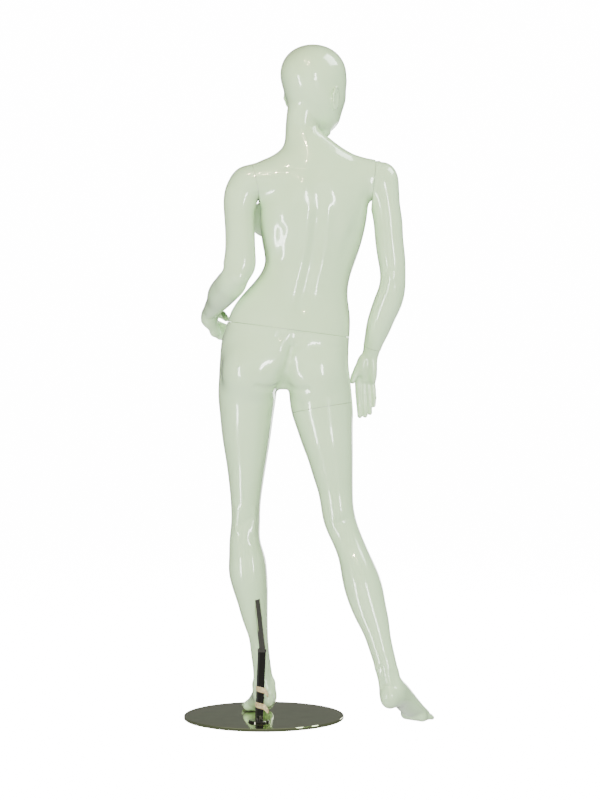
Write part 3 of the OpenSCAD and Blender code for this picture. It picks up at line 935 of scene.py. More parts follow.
@dataclass
class Arm:
    """Upper arm and forearm of one side, in one shell.

    Attributes:
        side: which arm it is.
        step: spacing of its mesh, in millimetres.
    """

    side: Side
    step: float = 3.0

    def limbs(self) -> list:
        """The limbs of the arm.

        Returns:
            Pairs of a limb and its fillet.
        """
        if self.side is Side.LEFT:
            upper = [
                [4, 38, 1421, 44, 46, 45, 0], [24, 40, 1418, 45, 47, 47, 0],
                [46, 41, 1404, 45, 46, 48, 0], [60, 43, 1372, 44, 44, 45, 0],
                [63, 48, 1330, 42, 40, 40, 0], [61, 57, 1280, 40, 39, 39, 0],
                [60, 66, 1230, 39, 40, 41, 0], [63, 72, 1192, 36, 40, 43, 0],
                [74, 73, 1166, 26, 30, 34, 0],
            ]
            fore = [
                [66, 90, 1168, 22, 22, 22, 0], [75, 68, 1161, 35, 36, 34, 0],
                [89, 30, 1147, 39, 42, 37, 0], [108, -20, 1128, 37, 41, 34, 0],
                [125, -74, 1107, 30, 31, 27, 0], [140, -115, 1091, 24, 24, 21, 0],
                [147, -137, 1083, 21, 21, 20, 0], [153, -158, 1075, 20, 20, 20, 0],
            ]
            return [(Limb(upper, (0, 1, 0), False), 10.0), (Limb(fore, (0, 0, 1), False), 16.0)]
        rows = [
            [-272, -13, 1430, 44, 50, 50, 0], [-292, -14, 1428, 45, 51, 51, 0],
            [-311, -14, 1406, 45, 48, 46, 0], [-322, -13, 1370, 43, 39, 42, 0],
            [-328, -11, 1322, 41, 39, 38, 0], [-332, -8, 1270, 39, 38, 37, 0],
            [-338, -5, 1220, 37, 37, 36, 0], [-341, -4, 1175, 36, 35, 33, 0],
            [-339, -9, 1140, 38, 36, 35, 0], [-330, -16, 1105, 38, 37, 38, 0],
            [-316, -24, 1070, 35, 35, 36, 0], [-303, -33, 1035, 29, 33, 32, 0],
            [-293, -40, 1004, 24, 28, 26, 0], [-288, -44, 984, 22, 25, 24, 0],
            [-283, -48, 964, 21, 24, 23, 0],
        ]
        return [(Limb(rows, (0, 1, 0), False), 10.0)]

    def body(self, torso: Body) -> Body:
        """Field of the arm, joined to the torso's near its seam.

        Args:
            torso: field of the torso.

        Returns:
            The field.
        """
        b = Body()
        for form, blend in self.limbs():
            b.add(form, blend)
        for form, _, _ in torso.parts[:4]:
            b.add(form, *SHOULDER_BLEND)
        if self.side is Side.LEFT:
            b.ridge([(66, 92, 1176), (74, 84, 1160)], 14, 3.0)
            b.ridge([(50, 84, 1300), (44, 92, 1240)], 16, 2.0)
        else:
            b.ridge([(-338, 30, 1182), (-337, 30, 1168)], 12, 3.0)
            b.ridge([(-318, 26, 1180), (-312, 20, 1140)], 14, -2.0)
        return b

    def make(self, torso: Body, lacquer: bpy.types.Material) -> None:
        """Builds the arm and dresses it.

        Args:
            torso: field of the torso.
            lacquer: finish of the shells.
        """
        name = self.side.value
        if self.side is Side.LEFT:
            box = ((-20, -175, 1030), (215, 140, 1490))
            seams = [LEFT_SHOULDER.flipped(), LEFT_WRIST]
        else:
            box = ((-390, -90, 950), (-250, 70, 1500))
            seams = [RIGHT_SHOULDER.flipped(), RIGHT_WRIST]
        seams = [Seam(s.point, s.normal, -1.0, s.gap) for s in seams]
        piece = shell(f"{name}_arm", self.body(torso), box, self.step, seams)
        gloss(piece, lacquer, f"{name}_arm", f"{name}_arm_shell")


@dataclass
class Hand:
    """One hand, with the stub that closes on the wrist.

    Attributes:
        side: which hand it is.
        step: spacing of its mesh, in millimetres.
    """

    side: Side
    step: float = 1.6

    def body(self) -> Body:
        """Field of the hand.

        Returns:
            The field.
        """
        b = Body()
        if self.side is Side.LEFT:
            wrist = [[140, -115, 1091, 24, 24, 21, 0], [147, -137, 1083, 21, 21, 20, 0],
                     [151, -154, 1075, 20, 22, 19, 0], [150, -168, 1062, 22, 24, 18, 0]]
            b.add(Limb(wrist, (0, 0, 1), False), 1.0)
            b.add(Bone([(149, -165, 1066), (143, -196, 1054)], [18, 12]), 12)
            b.add(Bone([(149, -163, 1060), (137, -180, 1028)], [18, 12]), 12)
            b.add(Bone([(143, -196, 1054), (137, -180, 1028)], [11, 11]), 10)
            fingers = [
                ([(144, -198, 1056), (128, -211, 1049), (106, -206, 1041), (86, -193, 1035)],
                 [10, 9, 8, 6.3]),
                ([(145, -195, 1043), (128, -209, 1033), (104, -204, 1025), (80, -190, 1017)],
                 [10, 9, 8, 6.3]),
                ([(142, -189, 1033), (126, -202, 1022), (105, -197, 1014), (84, -184, 1008)],
                 [9.5, 8.6, 7.6, 6.1]),
                ([(138, -180, 1024), (125, -191, 1014), (108, -187, 1009), (92, -177, 1006)],
                 [9, 7.6, 6.8, 5.6]),
                ([(147, -152, 1079), (133, -161, 1080), (116, -158, 1074), (105, -149, 1064)],
                 [15, 12.5, 11, 8.5]),
            ]
        else:
            wrist = [[-293, -40, 1004, 24, 28, 26, 0], [-288, -44, 984, 22, 24, 23, 0],
                     [-283, -47, 962, 17, 22, 22, 0], [-278, -49, 940, 15, 22, 25, 0],
                     [-274, -52, 915, 13, 25, 27, 0], [-273, -54, 899, 11, 26, 26, 0]]
            b.add(Limb(wrist, (0, 1, 0), False), 1.0)
            b.add(Ball((-262, -43, 936), (12, 14, 28), 0, 0), 12)
            b.add(Ball((-291, -43, 922), (10, 13, 30), 0, 0), 12)
            fingers = [
                ([(-252, -54, 900), (-252, -52, 866), (-254, -48, 836), (-255.5, -42, 802)],
                 [10, 8.4, 7.8, 6.4]),
                ([(-264, -56, 898), (-266, -54, 860), (-268, -50, 830), (-270, -44, 803)],
                 [9.5, 8.4, 7.6, 6.2]),
                ([(-276, -57, 898), (-279, -55, 862), (-281, -51, 834), (-283, -45, 810)],
                 [9.2, 8.2, 7.4, 6.0]),
                ([(-288, -56, 900), (-292, -55, 872), (-294, -51, 850), (-293, -46, 830)],
                 [8.6, 7.4, 6.6, 5.4]),
                ([(-264, -45, 948), (-251, -42, 926), (-241, -39, 908), (-236, -36, 895)],
                 [14, 11.5, 9.5, 7.2]),
            ]
        for points, radii in fingers:
            b.add(Bone(points, radii), 5.0)
        return b

    def make(self, lacquer: bpy.types.Material) -> None:
        """Builds the hand and dresses it.

        Args:
            lacquer: finish of the shells.
        """
        name = self.side.value
        if self.side is Side.LEFT:
            box, seam = ((60, -235, 985), (195, -105, 1118)), LEFT_WRIST.flipped()
        else:
            box, seam = ((-325, -90, 785), (-225, 0, 1012)), RIGHT_WRIST.flipped()
        piece = shell(f"{name}_hand_skin", self.body(), box, self.step, [seam], depth=0)
        gloss(piece, lacquer, f"{name}_hand_body", f"{name}_hand")


@dataclass
class Head:
    """Head in its own frame: x to its left, y to its back, z up from the eyes.

    Attributes:
        centre: origin of that frame, in millimetres.
        turn: turn of the head about the upright, in degrees.
    """

    centre: tuple = (-134, -4, 1668)
    turn: float = -34.0

    def world(self, p: tuple) -> tuple:
        """Point of the head in the frame of the part.

        Args:
            p: point from the middle of the head.

        Returns:
            The point.
        """
        c, s = math.cos(math.radians(self.turn)), math.sin(math.radians(self.turn))
        return (self.centre[0] + p[0] * c - p[1] * s, self.centre[1] + p[0] * s + p[1] * c,
                self.centre[2] + p[2])

    def row(self, z: float, y: float, a: float, f: float, b: float) -> list:
        """Station of the skull at height z.

        Args:
            z: height above the eyes.
            y: middle of the section, towards the back.
            a: half-width.
            f: half-depth to the front.
            b: half-depth to the back.

        Returns:
            The station.
        """
        x, y, z = self.world((0, y, z))
        return [x, y, z, a, f, b, self.turn]

    def bone(self, points: list, radii: list) -> Bone:
        """Rod through points of the head.

        Args:
            points: centres of its balls.
            radii: their radii.

        Returns:
            The rod.
        """
        return Bone([self.world(p) for p in points], radii)

    def ball(self, centre: tuple, radii: tuple, lean: float = 0.0, turn: float = 0.0) -> Ball:
        """Ellipsoid at a point of the head.

        Args:
            centre: its centre.
            radii: its half-sizes.
            lean: turn about the side axis, in degrees.
            turn: turn about the upright, in degrees.

        Returns:
            The ellipsoid.
        """
        return Ball(self.world(centre), radii, self.turn + turn, lean)

    def add_to(self, b: Body) -> None:
        """Joins skull, face and ears to the body.

        Args:
            b: the body.
        """
        rows = [
            self.row(-108, -46, 16, 22, 20), self.row(-100, -42, 28, 32, 34), self.row(-90, -34, 41, 46, 46),
            self.row(-68, -22, 57, 63, 60), self.row(-44, -14, 68, 74, 76),
            self.row(-20, -8, 75, 81, 90),
            self.row(4, -4, 79, 86, 98), self.row(24, 0, 81, 93, 101), self.row(35, 2, 81, 93, 100),
        ]
        b.add(Limb(rows, power=2.1), 14)
        b.add(self.bone([(0, -82, 6), (0, -91, -12), (0, -101, -32)], [5.5, 6.5, 8]), 9)
        for s in (-1, 1):
            b.add(self.bone([(s * 9, -93, -36), (s * 11, -86, -34)], [5.5, 4.5]), 5)
            b.add(self.ball((s * 30, -66, 2), (15, 14, 10)), 2.5)
            b.add(self.bone([(s * 15, -82, 20), (s * 30, -82, 24), (s * 48, -70, 20)], [4, 4, 3]), 9)
            b.add(self.bone([(s * 18, -79, 5), (s * 30, -80, 8), (s * 43, -73, 5)], [2.2, 2.4, 2.0]), 2.5)
        upper_lip = [(-20, -80, -58), (-8, -87.5, -55), (0, -87, -56.5), (8, -87.5, -55), (20, -80, -58)]
        b.add(self.bone(upper_lip, [2.2, 4, 3.6, 4, 2.2]), 3)
        b.add(self.bone([(-19, -80, -60), (0, -86, -65), (19, -80, -60)], [2.2, 5.2, 2.2]), 3)
        b.add(self.ball((0, -70, -87), (16, 14, 12)), 12)
        for s in (-1, 1):
            b.add(self.ball((s * 70, 8, -32), (6, 14, 26), lean=-12, turn=s * 14), 6)
            rim = [(s * 68, -2, -46), (s * 74, 0, -20), (s * 78, 8, -4), (s * 80, 20, -6),
                   (s * 78, 26, -22), (s * 74, 20, -40), (s * 68, 8, -54), (s * 64, 1, -58)]
            b.add(self.bone(rim, [2.4, 2.6, 3.2, 3.4, 3.2, 2.8, 3.6, 3.0]), 3)
            b.add(self.bone([(s * 76, 15, -12), (s * 76, 17, -26), (s * 72, 10, -44)], [2.0, 2.4, 2.0]), 2.5)

    def carve(self, b: Body) -> None:
        """Hollows round the eyes, beside the nose and under the lip.

        Args:
            b: the body.
        """
        for s in (-1, 1):
            lid = [(s * 18, -76, 1), (s * 30, -81, -1), (s * 43, -71, 0)]
            for points, width, height in (
                ([(s * 18, -80, 4), (s * 30, -80, 4), (s * 42, -70, 4)], 13, -6.0),
                ([(s * 42, -66, -22)], 20, 3.0), ([(s * 50, -44, -60)], 22, -2.5), (lid, 1.6, -1.3),
            ):
                b.ridge([self.world(p) for p in points], width, height)
        for points, width, height in (
            ([(-17, -84, -60.5), (0, -92, -60), (17, -84, -60.5)], 1.8, -2.2),
            ([(0, -92, -44), (0, -92, -50)], 3.0, -1.4), ([(-8, -84, -77), (8, -84, -77)], 9, -3.0),
        ):
            b.ridge([self.world(p) for p in points], width, height)


@dataclass
class Torso:
    """Chest, shoulders, neck and head, in one shell.

    Attributes:
        step: spacing of its mesh, in millimetres.
        head: the head.
    """

    step: float = 3.0
    head: Head = field(default_factory=Head)

    def forms(self) -> Body:
        """Field of the torso without the arms.

        Returns:
            The field.
        """
        chest = [
            [-52, 4, 945, 170, 96, 118, 8], [-57, 4, 985, 168, 96, 112, 8],
            [-64, 3, 1030, 165, 92, 98, 8], [-70, 0, 1075, 159, 88, 86, 9],
            [-82, -2, 1120, 142, 84, 77, 10], [-103, -4, 1163, 125, 80, 72, 11],
            [-121, -5, 1205, 120, 80, 72, 12], [-127, -2, 1250, 130, 84, 76, 13],
            [-130, 3, 1300, 140, 90, 82, 13], [-133, 7, 1345, 144, 90, 86, 13],
            [-136, 10, 1390, 140, 84, 84, 13], [-136, 12, 1425, 122, 72, 76, 13],
            [-133, 12, 1452, 92, 58, 64, 12],
        ]
        yoke = [
            [42, 42, 1414, 46, 44, 44, 0], [22, 40, 1417, 47, 45, 45, 0], [-14, 33, 1424, 52, 51, 50, 0],
            [-65, 24, 1425, 58, 60, 56, 0], [-135, 13, 1424, 60, 64, 62, 0],
            [-205, -2, 1430, 58, 58, 56, 0], [-258, -10, 1431, 54, 50, 50, 0],
            [-292, -14, 1428, 51, 45, 45, 0], [-312, -15, 1426, 50, 44, 44, 0],
        ]
        trapezius = [
            [-20, 30, 1436, 36, 24, 26, 0], [-62, 20, 1464, 40, 28, 34, 0],
            [-98, 12, 1496, 44, 34, 40, 0], [-122, 9, 1508, 48, 38, 42, 0],
            [-160, 6, 1491, 44, 34, 40, 0], [-212, 0, 1457, 40, 28, 34, 0],
            [-255, -6, 1438, 36, 24, 26, 0],
        ]
        neck = [
            [-124, 10, 1460, 62, 50, 56, 5], [-114, 8, 1508, 50, 46, 50, 0],
            [-102, 6, 1538, 44, 45, 46, -8], [-101, 2, 1568, 43, 46, 46, -16],
            [-108, 0, 1604, 46, 46, 52, -24], [-120, 0, 1640, 52, 48, 58, -28],
        ]
        b = Body()
        b.add(Limb(chest, power=2.15), 1.0)
        b.add(Limb(yoke, (0, 0, 1), False), 26)
        b.add(Limb(trapezius, (0, 0, 1), False), 30)
        b.add(Limb(neck), 28)
        self.head.add_to(b)
        for x, y, z in ((-12, -62, 1328), (-172, -96, 1318)):
            b.add(Ball((x, y, z), (54, 46, 50), 13), 30)
            b.add(Ball((x - 4 if x < -100 else x + 2, y - 42, z - 10), (7, 7, 7)), 10)
        return b

    def relief(self, b: Body) -> Body:
        """Adds the furrows and swellings of the back, chest and neck.

        Args:
            b: the body without them.

        Returns:
            The same body.
        """
        back, front = "back", "front"
        b.ridge([(-130, 1440), (-143, 1375), (-142, 1340)], 20, -3.0, back)
        b.ridge([(-141, 1320), (-136, 1260), (-126, 1200), (-108, 1130), (-96, 1085)], 17, -6.5, back)
        b.ridge([(-104, 1410), (-86, 1370), (-66, 1320), (-72, 1296)], 24, 4.0, back)
        b.ridge([(-178, 1410), (-196, 1370), (-216, 1322), (-214, 1296)], 24, 4.0, back)
        b.ridge([(-60, 1440), (-30, 1425)], 20, 3.0, back)
        b.ridge([(-118, 1340), (-104, 1240), (-84, 1150)], 16, 3.0, back)
        b.ridge([(-168, 1340), (-160, 1240), (-138, 1150)], 16, 3.0, back)
        b.ridge([(-48, 1290), (-36, 1230)], 18, -2.5, back)
        b.ridge([(-230, 1290), (-214, 1230)], 18, -2.5, back)
        b.ridge([(-112, 1462), (-70, 1458), (-20, 1462)], 7, 3.5, front)
        b.ridge([(-136, 1462), (-190, 1462), (-250, 1466)], 7, 3.5, front)
        b.ridge([(-124, 1450), (-124, 1438)], 10, -5.0, front)
        b.ridge([(-100, 1300), (-96, 1240), (-80, 1160), (-66, 1110)], 14, -3.0, front)
        b.ridge([(-64, 1090)], 5, -6.0, front)
        b.ridge([(-60, 1262), (-100, 1252), (-150, 1262)], 16, 3.0, front)
        self.head.carve(b)
        return b

    def make(self, lacquer: bpy.types.Material) -> Body:
        """Builds the torso and dresses it; returns its field for the arms.

        Args:
            lacquer: finish of the shells.

        Returns:
            The field of the torso.
        """
        b = self.relief(self.forms())
        whole = Body()
        whole.parts, whole.ridges = list(b.parts), b.ridges
        for arm in (Arm(Side.LEFT), Arm(Side.RIGHT)):
            whole.add(arm.limbs()[0][0], *SHOULDER_BLEND)
        seams = [WAIST, LEFT_SHOULDER, RIGHT_SHOULDER]
        piece = shell("torso_and_head", whole, ((-330, -190, 990), (120, 130, 1795)), self.step, seams)
        gloss(piece, lacquer, "torso", "torso_head_shell")
        return b


@dataclass
class Foot:
    """One foot: heel to ball as a limb, then five toes.

    Attributes:
        rows: stations from heel to toe roots.
        ball: middle of the ball of the foot, on the sole.
        ahead: level direction in which it points.
        inner: level direction towards its big toe.
        drop: how much the toes fall over their length.
    """

    rows: list
    ball: tuple
    ahead: tuple
    inner: tuple
    drop: float = 0.0

    def at(self, side: float, ahead: float, up: float) -> tuple:
        """Point of the foot, from its ball.

        Args:
            side: distance towards the inner side.
            ahead: distance towards the toes.
            up: height.

        Returns:
            The point.
        """
        a, i, b = unit(np.array(self.ahead)), unit(np.array(self.inner)), self.ball
        return (b[0] + side * i[0] + ahead * a[0], b[1] + side * i[1] + ahead * a[1],
                b[2] + up - self.drop * max(ahead, 0) / 60)

    def add_to(self, b: Body) -> None:
        """Joins the foot to the body.

        Args:
            b: the body.
        """
        across = (abs(self.inner[0]), self.inner[1] * math.copysign(1, self.inner[0]), 0)
        b.add(Limb(self.rows, across, False), 20)
        toes = ((26, 8, 66, 12.5, 10.5), (9, 14, 64, 9.5, 7.6), (-6, 12, 57, 9.0, 7.2),
                (-20, 6, 47, 8.6, 6.8), (-32, -4, 35, 8.2, 6.4))
        for side, root, tip, r0, r1 in toes:
            mid = root + 0.62 * (tip - root)
            b.add(Bone([self.at(side * 0.94, root, r0 + 3), self.at(side, mid, r1 + 3.4),
                        self.at(side * 0.96, tip - r1, r1 + 0.6)], [r0, r1 * 1.02, r1]), 6)
        b.add(Bone([self.at(27, -8, 15), self.at(-30, -18, 13)], [14, 11]), 12)


@dataclass
class LowerFigure:
    """Pelvis with the standing leg, and the free right leg, which parts at the thigh.

    Attributes:
        step: spacing of the meshes, in millimetres.
    """

    step: float = 3.0

    def left_foot(self) -> Foot:
        """The foot that stands on the plate.

        Returns:
            The foot.
        """
        rows = [
            [-9, 72, 60, 20, 20, 22, 0], [-7, 60, 62, 25, 26, 34, 0], [-3, 38, 65, 27, 29, 40, 0],
            [3, 5, 58, 29, 24, 34, 0], [9, -28, 42, 32, 20, 26, 0], [15, -60, 29, 37, 18, 16, 0],
            [21, -84, 23, 35, 13, 12, 0],
        ]
        return Foot(rows, (19, -72, 9.2), (0.2, -0.98), (-0.98, -0.2))

    def right_foot(self) -> Foot:
        """The foot that stands off to the side, heel up.

        Returns:
            The foot.
        """
        rows = [
            [-327, 200, 82, 24, 24, 30, 0], [-338, 180, 86, 28, 29, 42, 0],
            [-355, 144, 78, 31, 26, 38, 0], [-374, 106, 57, 35, 24, 28, 0], [-392, 72, 37, 38, 22, 19, 0],
            [-404, 50, 26, 37, 17, 14, 0],
        ]
        return Foot(rows, (-402, 56, 3), (-0.6, -0.8), (0.8, -0.6), 1.0)

    def forms(self) -> Body:
        """Field of the whole lower figure.

        Returns:
            The field.
        """
        pelvis = [
            [-82, -2, 1120, 142, 84, 77, 10], [-70, 0, 1075, 159, 88, 86, 9],
            [-64, 3, 1030, 165, 92, 98, 8], [-57, 4, 980, 167, 93, 107, 8],
        ]
        left = [
            [28, 3, 985, 84, 84, 90, 0], [34, 4, 945, 83, 85, 98, 0], [40, 4, 905, 79, 85, 97, 0],
            [43.5, 3, 860, 77, 84, 88, 0], [45, 2, 810, 71.5, 79, 79, 0], [46, 0, 750, 64.5, 72, 70, 0],
            [46, -2, 686, 54.5, 63, 61, 0], [47, -2, 620, 45, 54, 53, 0], [48, 0, 560, 39, 48, 46, 0],
            [48.5, 2, 517, 38.5, 46, 44, 0], [50, 8, 474, 41, 43, 46, 0],
            [44.5, 14, 432, 47.5, 42, 52, 0], [41.5, 18, 389, 50.5, 42, 54, 0],
            [35.5, 22, 347, 46.5, 40, 48, 0], [28.5, 27, 305, 39.5, 37, 41, 0],
            [22, 33, 262, 33, 33, 34, 0], [14, 37, 220, 26, 30, 29, 0], [9, 39, 177, 24.5, 28, 27, 0],
            [3.5, 41, 135, 24.5, 29, 27, 8], [0, 43, 96, 26, 31, 27, 12], [-2, 43, 66, 26, 30, 26, 12],
        ]
        right = [
            [-137, 3, 985, 84, 82, 88, 0], [-141, 4, 945, 83, 84, 96, 0], [-146, 5, 900, 83, 86, 94, 0],
            [-151, 7, 850, 83, 86, 87, 0], [-155, 8, 813, 81.5, 85, 83, 0],
            [-161.5, 11, 771, 74.5, 79, 77, 0], [-168.7, 15, 729, 67.4, 73, 71, 0],
            [-176.6, 18, 687, 59.5, 66, 64, 0], [-183, 22, 645, 52.8, 59, 57, 0],
            [-189.7, 25, 603, 46.2, 53, 51, 0], [-194.9, 29, 561, 43.3, 49, 48, 0],
            [-204, 33, 519, 43.8, 48, 46, 0], [-220.5, 44, 478, 43, 44, 48, 0],
            [-238, 60, 437.7, 43.5, 42, 53, 0], [-251.5, 76, 397.5, 48.4, 42, 56, 0],
            [-261.5, 92, 357.4, 50.8, 41, 52, 0], [-271.4, 108, 317.6, 48, 39, 45, 0],
            [-283.8, 124, 278, 42.8, 35, 38, 0], [-296.3, 139, 238.6, 34.9, 32, 32, 0],
            [-307.3, 154, 199.4, 31.5, 30, 29, 0], [-317.5, 166, 162, 29.5, 30, 29, -20],
            [-324, 175, 128, 28, 32, 27, -28], [-328, 180, 100, 27, 32, 26, -28],
        ]
        b = Body()
        b.add(Limb(pelvis, power=2.2), 1.0)
        b.add(Limb(left), 12)
        b.add(Limb(right), 9)
        b.add(Ball((30, 62, 924), (72, 62, 74), 8, -12), 26)
        b.add(Ball((-132, 44, 916), (70, 62, 74), 8, -12), 22)
        self.left_foot().add_to(b)
        self.right_foot().add_to(b)
        return b

    def relief(self, b: Body) -> Body:
        """Adds cleft, folds, knees, calves and ankles.

        Args:
            b: the body without them.

        Returns:
            The same body.
        """
        back, front = "back", "front"
        b.ridge([(-100, 1100), (-92, 1060), (-84, 1020), (-76, 985)], 14, -3.0, back)
        cleft = [b.on_skin(x, z, back) for x, z in ((-76, 985), (-66, 950), (-58, 915), (-53, 885))]
        b.ridges.append(Ridge([(x, y - 4, z) for x, y, z in cleft], 18, -13.0))
        b.ridges.append(Ridge([(x, y - 12, z) for x, y, z in cleft], 7, -15.0))
        b.ridge([(-104, 1012), (-96, 1004)], 12, -4.0, back)
        b.ridge([(-44, 1020), (-40, 1012)], 12, -4.0, back)
        b.ridge([(-46, 884), (-20, 878), (16, 882)], 9, -5.0, back)
        b.ridge([(-64, 880), (-90, 874), (-115, 876)], 9, -4.0, back)
        b.ridge([(108, 40, 936), (106, 45, 900)], 24, -3.0)
        b.ridge([(38, 530), (50, 522), (60, 516)], 13, -3.0, back)
        b.ridge([(24, 560), (26, 500)], 8, 2.5, back)
        b.ridge([(70, 560), (72, 500)], 8, 2.5, back)
        b.ridge([(42, 460), (38, 380)], 9, -2.0, back)
        b.ridge([(48, 524), (48, 508)], 18, 5.0, front)
        b.ridge([(-212, 530), (-198, 522)], 13, -3.0, back)
        b.ridge([(-230, 460), (-248, 390)], 9, -2.0, back)
        b.ridge([(-204, 526), (-208, 508)], 18, 5.0, front)
        b.ridge([(-60, 900), (-88, 960), (-140, 1010)], 16, -3.0, front)
        b.ridge([(-46, 900), (-20, 960), (40, 1010)], 16, -3.0, front)
        for x, y, z, rise in ((27, 38, 96, 3.5), (-27, 44, 104, 4.0), (-350, 176, 150, 2.5),
                              (-296, 172, 158, 2.0)):
            b.ridges.append(Ridge([(x, y, z)], 12, rise))
        for x, z in ((14, 130), (-19, 130)):
            b.ridges.append(Ridge([(x, 60, z), (x, 56, z - 50)], 9, -3.5))
        for a, c in (((-304, 190, 160), (-306, 200, 120)), ((-334, 196, 152), (-340, 202, 118))):
            b.ridges.append(Ridge([a, c], 9, -3.5))
        return b

    def make(self, lacquer: bpy.types.Material) -> None:
        """Builds both pieces and dresses them.

        Args:
            lacquer: finish of the shells.
        """
        b = self.relief(self.forms())
        pelvis = shell("pelvis_and_left_leg", b, ((-250, -150, 2), (135, 160, 1075)), self.step,
                       [WAIST.flipped(), self.thigh_cut()])
        leg = shell("right_leg_with_foot", b, ((-480, -90, 0.5), (-62, 250, 842)), self.step,
                    [THIGH.flipped()])
        gloss(pelvis, lacquer, "lower_body", "pelvis_leg_shell")
        gloss(leg, lacquer, "right_leg", "right_leg_shell")

    def thigh_cut(self) -> Seam:
        """The thigh seam as it cuts the pelvis, leaving the standing leg alone.

        Returns:
            The seam.
        """
        return Seam(THIGH.point, THIGH.normal, right_of=-50.0)


# ------------------------------------------------------------------ stand
LOOSE_STEPS = 12
TAPE_ROWS = 7


@dataclass
class Stand:
    """Plate, flange, tube, collar, clamp screw, rod and tape.

    Attributes:
        foot: where the middle of the tube meets the plate, in metres.
        width: width of the square tube, in metres.
        turn: turn of the tube about itself, in degrees.
        lean: lean of the tube, in degrees.
    """

    foot: tuple = (0.0111, 0.106, 0.008)
    width: float = 0.0166
    turn: float = 17.0
    lean: float = 2.4

    def place(self, x: float, y: float, z: float) -> tuple:
        """Point beside the tube, in its own frame, as a point of the frame of the part.

        Args:
            x: distance across the tube.
            y: distance along its other side.
            z: distance along the tube.

        Returns:
            The point, in metres.
        """
        c, s = math.cos(math.radians(self.turn)), math.sin(math.radians(self.turn))
        x, y = x * c - y * s, x * s + y * c
        c, s = math.cos(math.radians(self.lean)), math.sin(math.radians(self.lean))
        return (self.foot[0] + x * c - z * s, self.foot[1] + y, self.foot[2] + x * s + z * c)

    def tape(self, name: str, middle: float, seed: int, finish: bpy.types.Material,
             tail: float) -> bpy.types.Object:
        """A torn band wound aslant round the square tube, with a loose end.

        Args:
            name: name of the piece.
            middle: height of its middle above the plate, in metres.
            seed: number that sets how the edges are torn.
            finish: its material.
            tail: length of the loose end, in metres.

        Returns:
            The band.
        """
        rng = np.random.default_rng(seed)
        half = self.width / 2 + 0.0005
        corners = [(-half, half), (-half, -half), (half, -half), (half, half), (-half, half)]
        path = []
        for (x0, y0), (x1, y1) in zip(corners, corners[1:]):
            path += [(x0 + (x1 - x0) * t, y0 + (y1 - y0) * t) for t in np.linspace(0, 1, 9)[:-1]]
        path += [(-half - tail * t, half + 0.0015 + 0.003 * math.sin(3 * t))
                 for t in np.linspace(0.02, 1, LOOSE_STEPS)]
        n, rows = len(path), TAPE_ROWS
        loose = n - LOOSE_STEPS
        bm = bmesh.new()
        layers = []
        for off in (0.0, 0.0007):
            grid = []
            for i, (x, y) in enumerate(path):
                t = max(0, i - loose) / LOOSE_STEPS
                width = (0.0085 + 0.009 * i / n) * (1 - 0.55 * t**2) + rng.uniform(-0.0007, 0.0007)
                mid = middle + 0.0045 * (half - x) / half * 0.5 - 0.0045 + 0.0045 * x / half - 0.011 * t
                centre = 1 + off / math.hypot(x, y)
                crease = 0.0003 * math.sin(1.9 * i + seed)
                y = y * centre + (crease if i > loose else 0.0)
                grid.append([bm.verts.new(self.place(x * centre, y, mid + width * (j / (rows - 1) - 0.5)))
                             for j in range(rows)])
            layers.append(grid)
        for grid in layers:
            for a, b in zip(grid, grid[1:]):
                for j in range(rows - 1):
                    bm.faces.new((a[j], b[j], b[j + 1], a[j + 1]))
        inner, outer = layers
        for a, b in ((inner[0], outer[0]), (inner[-1], outer[-1])):
            for j in range(rows - 1):
                bm.faces.new((a[j], a[j + 1], b[j + 1], b[j]))
        for j in (0, rows - 1):
            for i in range(n - 1):
                bm.faces.new((inner[i][j], inner[i + 1][j], outer[i + 1][j], outer[i][j]))
        bmesh.ops.recalc_face_normals(bm, faces=bm.faces)
        piece = link(name, new_mesh(name, bm))
        log.info("%s: %d faces", name, len(piece.data.polygons))
        piece.data.materials.append(finish)
        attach(piece, "base")
        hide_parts("tape_bands")
        return piece

    def make(self, frame: dict) -> None:
        """Dresses the nodes of the stand and winds the tape.

        Args:
            frame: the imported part.
        """
        plate = Metal("mirror_plate", (0.56, 0.61, 0.36), (0.012, 0.04), 40.0, 0.000001).make()
        chrome = Metal("bright_chrome", (0.46, 0.45, 0.40), (0.03, 0.08)).make()
        # This chrome's colour is darkened to paint in the dark reflection of the room on the tube, flange
        # and clamp screw.
        dark = Metal("chrome_painted_dark_reflection", (0.14, 0.135, 0.12), (0.03, 0.08)).make()
        dress(frame, plate, "base_plate")
        dress(frame, chrome, "tube_collar", "calf_rod", "flange_screws")
        dress(frame, dark, "base_tube", "rod_flange", "clamp_screw")
        tape = PaperTape().make()
        self.tape("tape_band_lower", 0.045, 3, tape, 0.013)
        self.tape("tape_band_upper", 0.087, 8, tape, 0.010)


def dress(frame: dict, finish: bpy.types.Material, *names: str) -> None:
    """Gives nodes of the frame a finish.

    Args:
        frame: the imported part.
        finish: the material.
        *names: the nodes.
    """
    for name in names:
        obj = frame["nodes"][name]
        obj.data.materials.clear()
        obj.data.materials.append(finish)
        log.info("%s: %s", name, finish.name)


@dataclass
class Fittings:
    """Boards, plates, keys and screws inside the seams."""

    def make(self, frame: dict) -> None:
        """Dresses every inner node.

        Args:
            frame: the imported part.
        """
        wood = Plywood().make()
        zinc = Metal("zinc_plated_steel", (0.50, 0.51, 0.53), (0.25, 0.42), 500.0, 0.00002).make()
        for name in frame["nodes"]:
            if name.endswith("board"):
                dress(frame, wood, name)
            elif any(w in name for w in ("socket", "plate", "key", "post", "screws", "pin")):
                if name not in ("base_plate", "flange_screws"):
                    dress(frame, zinc, name)


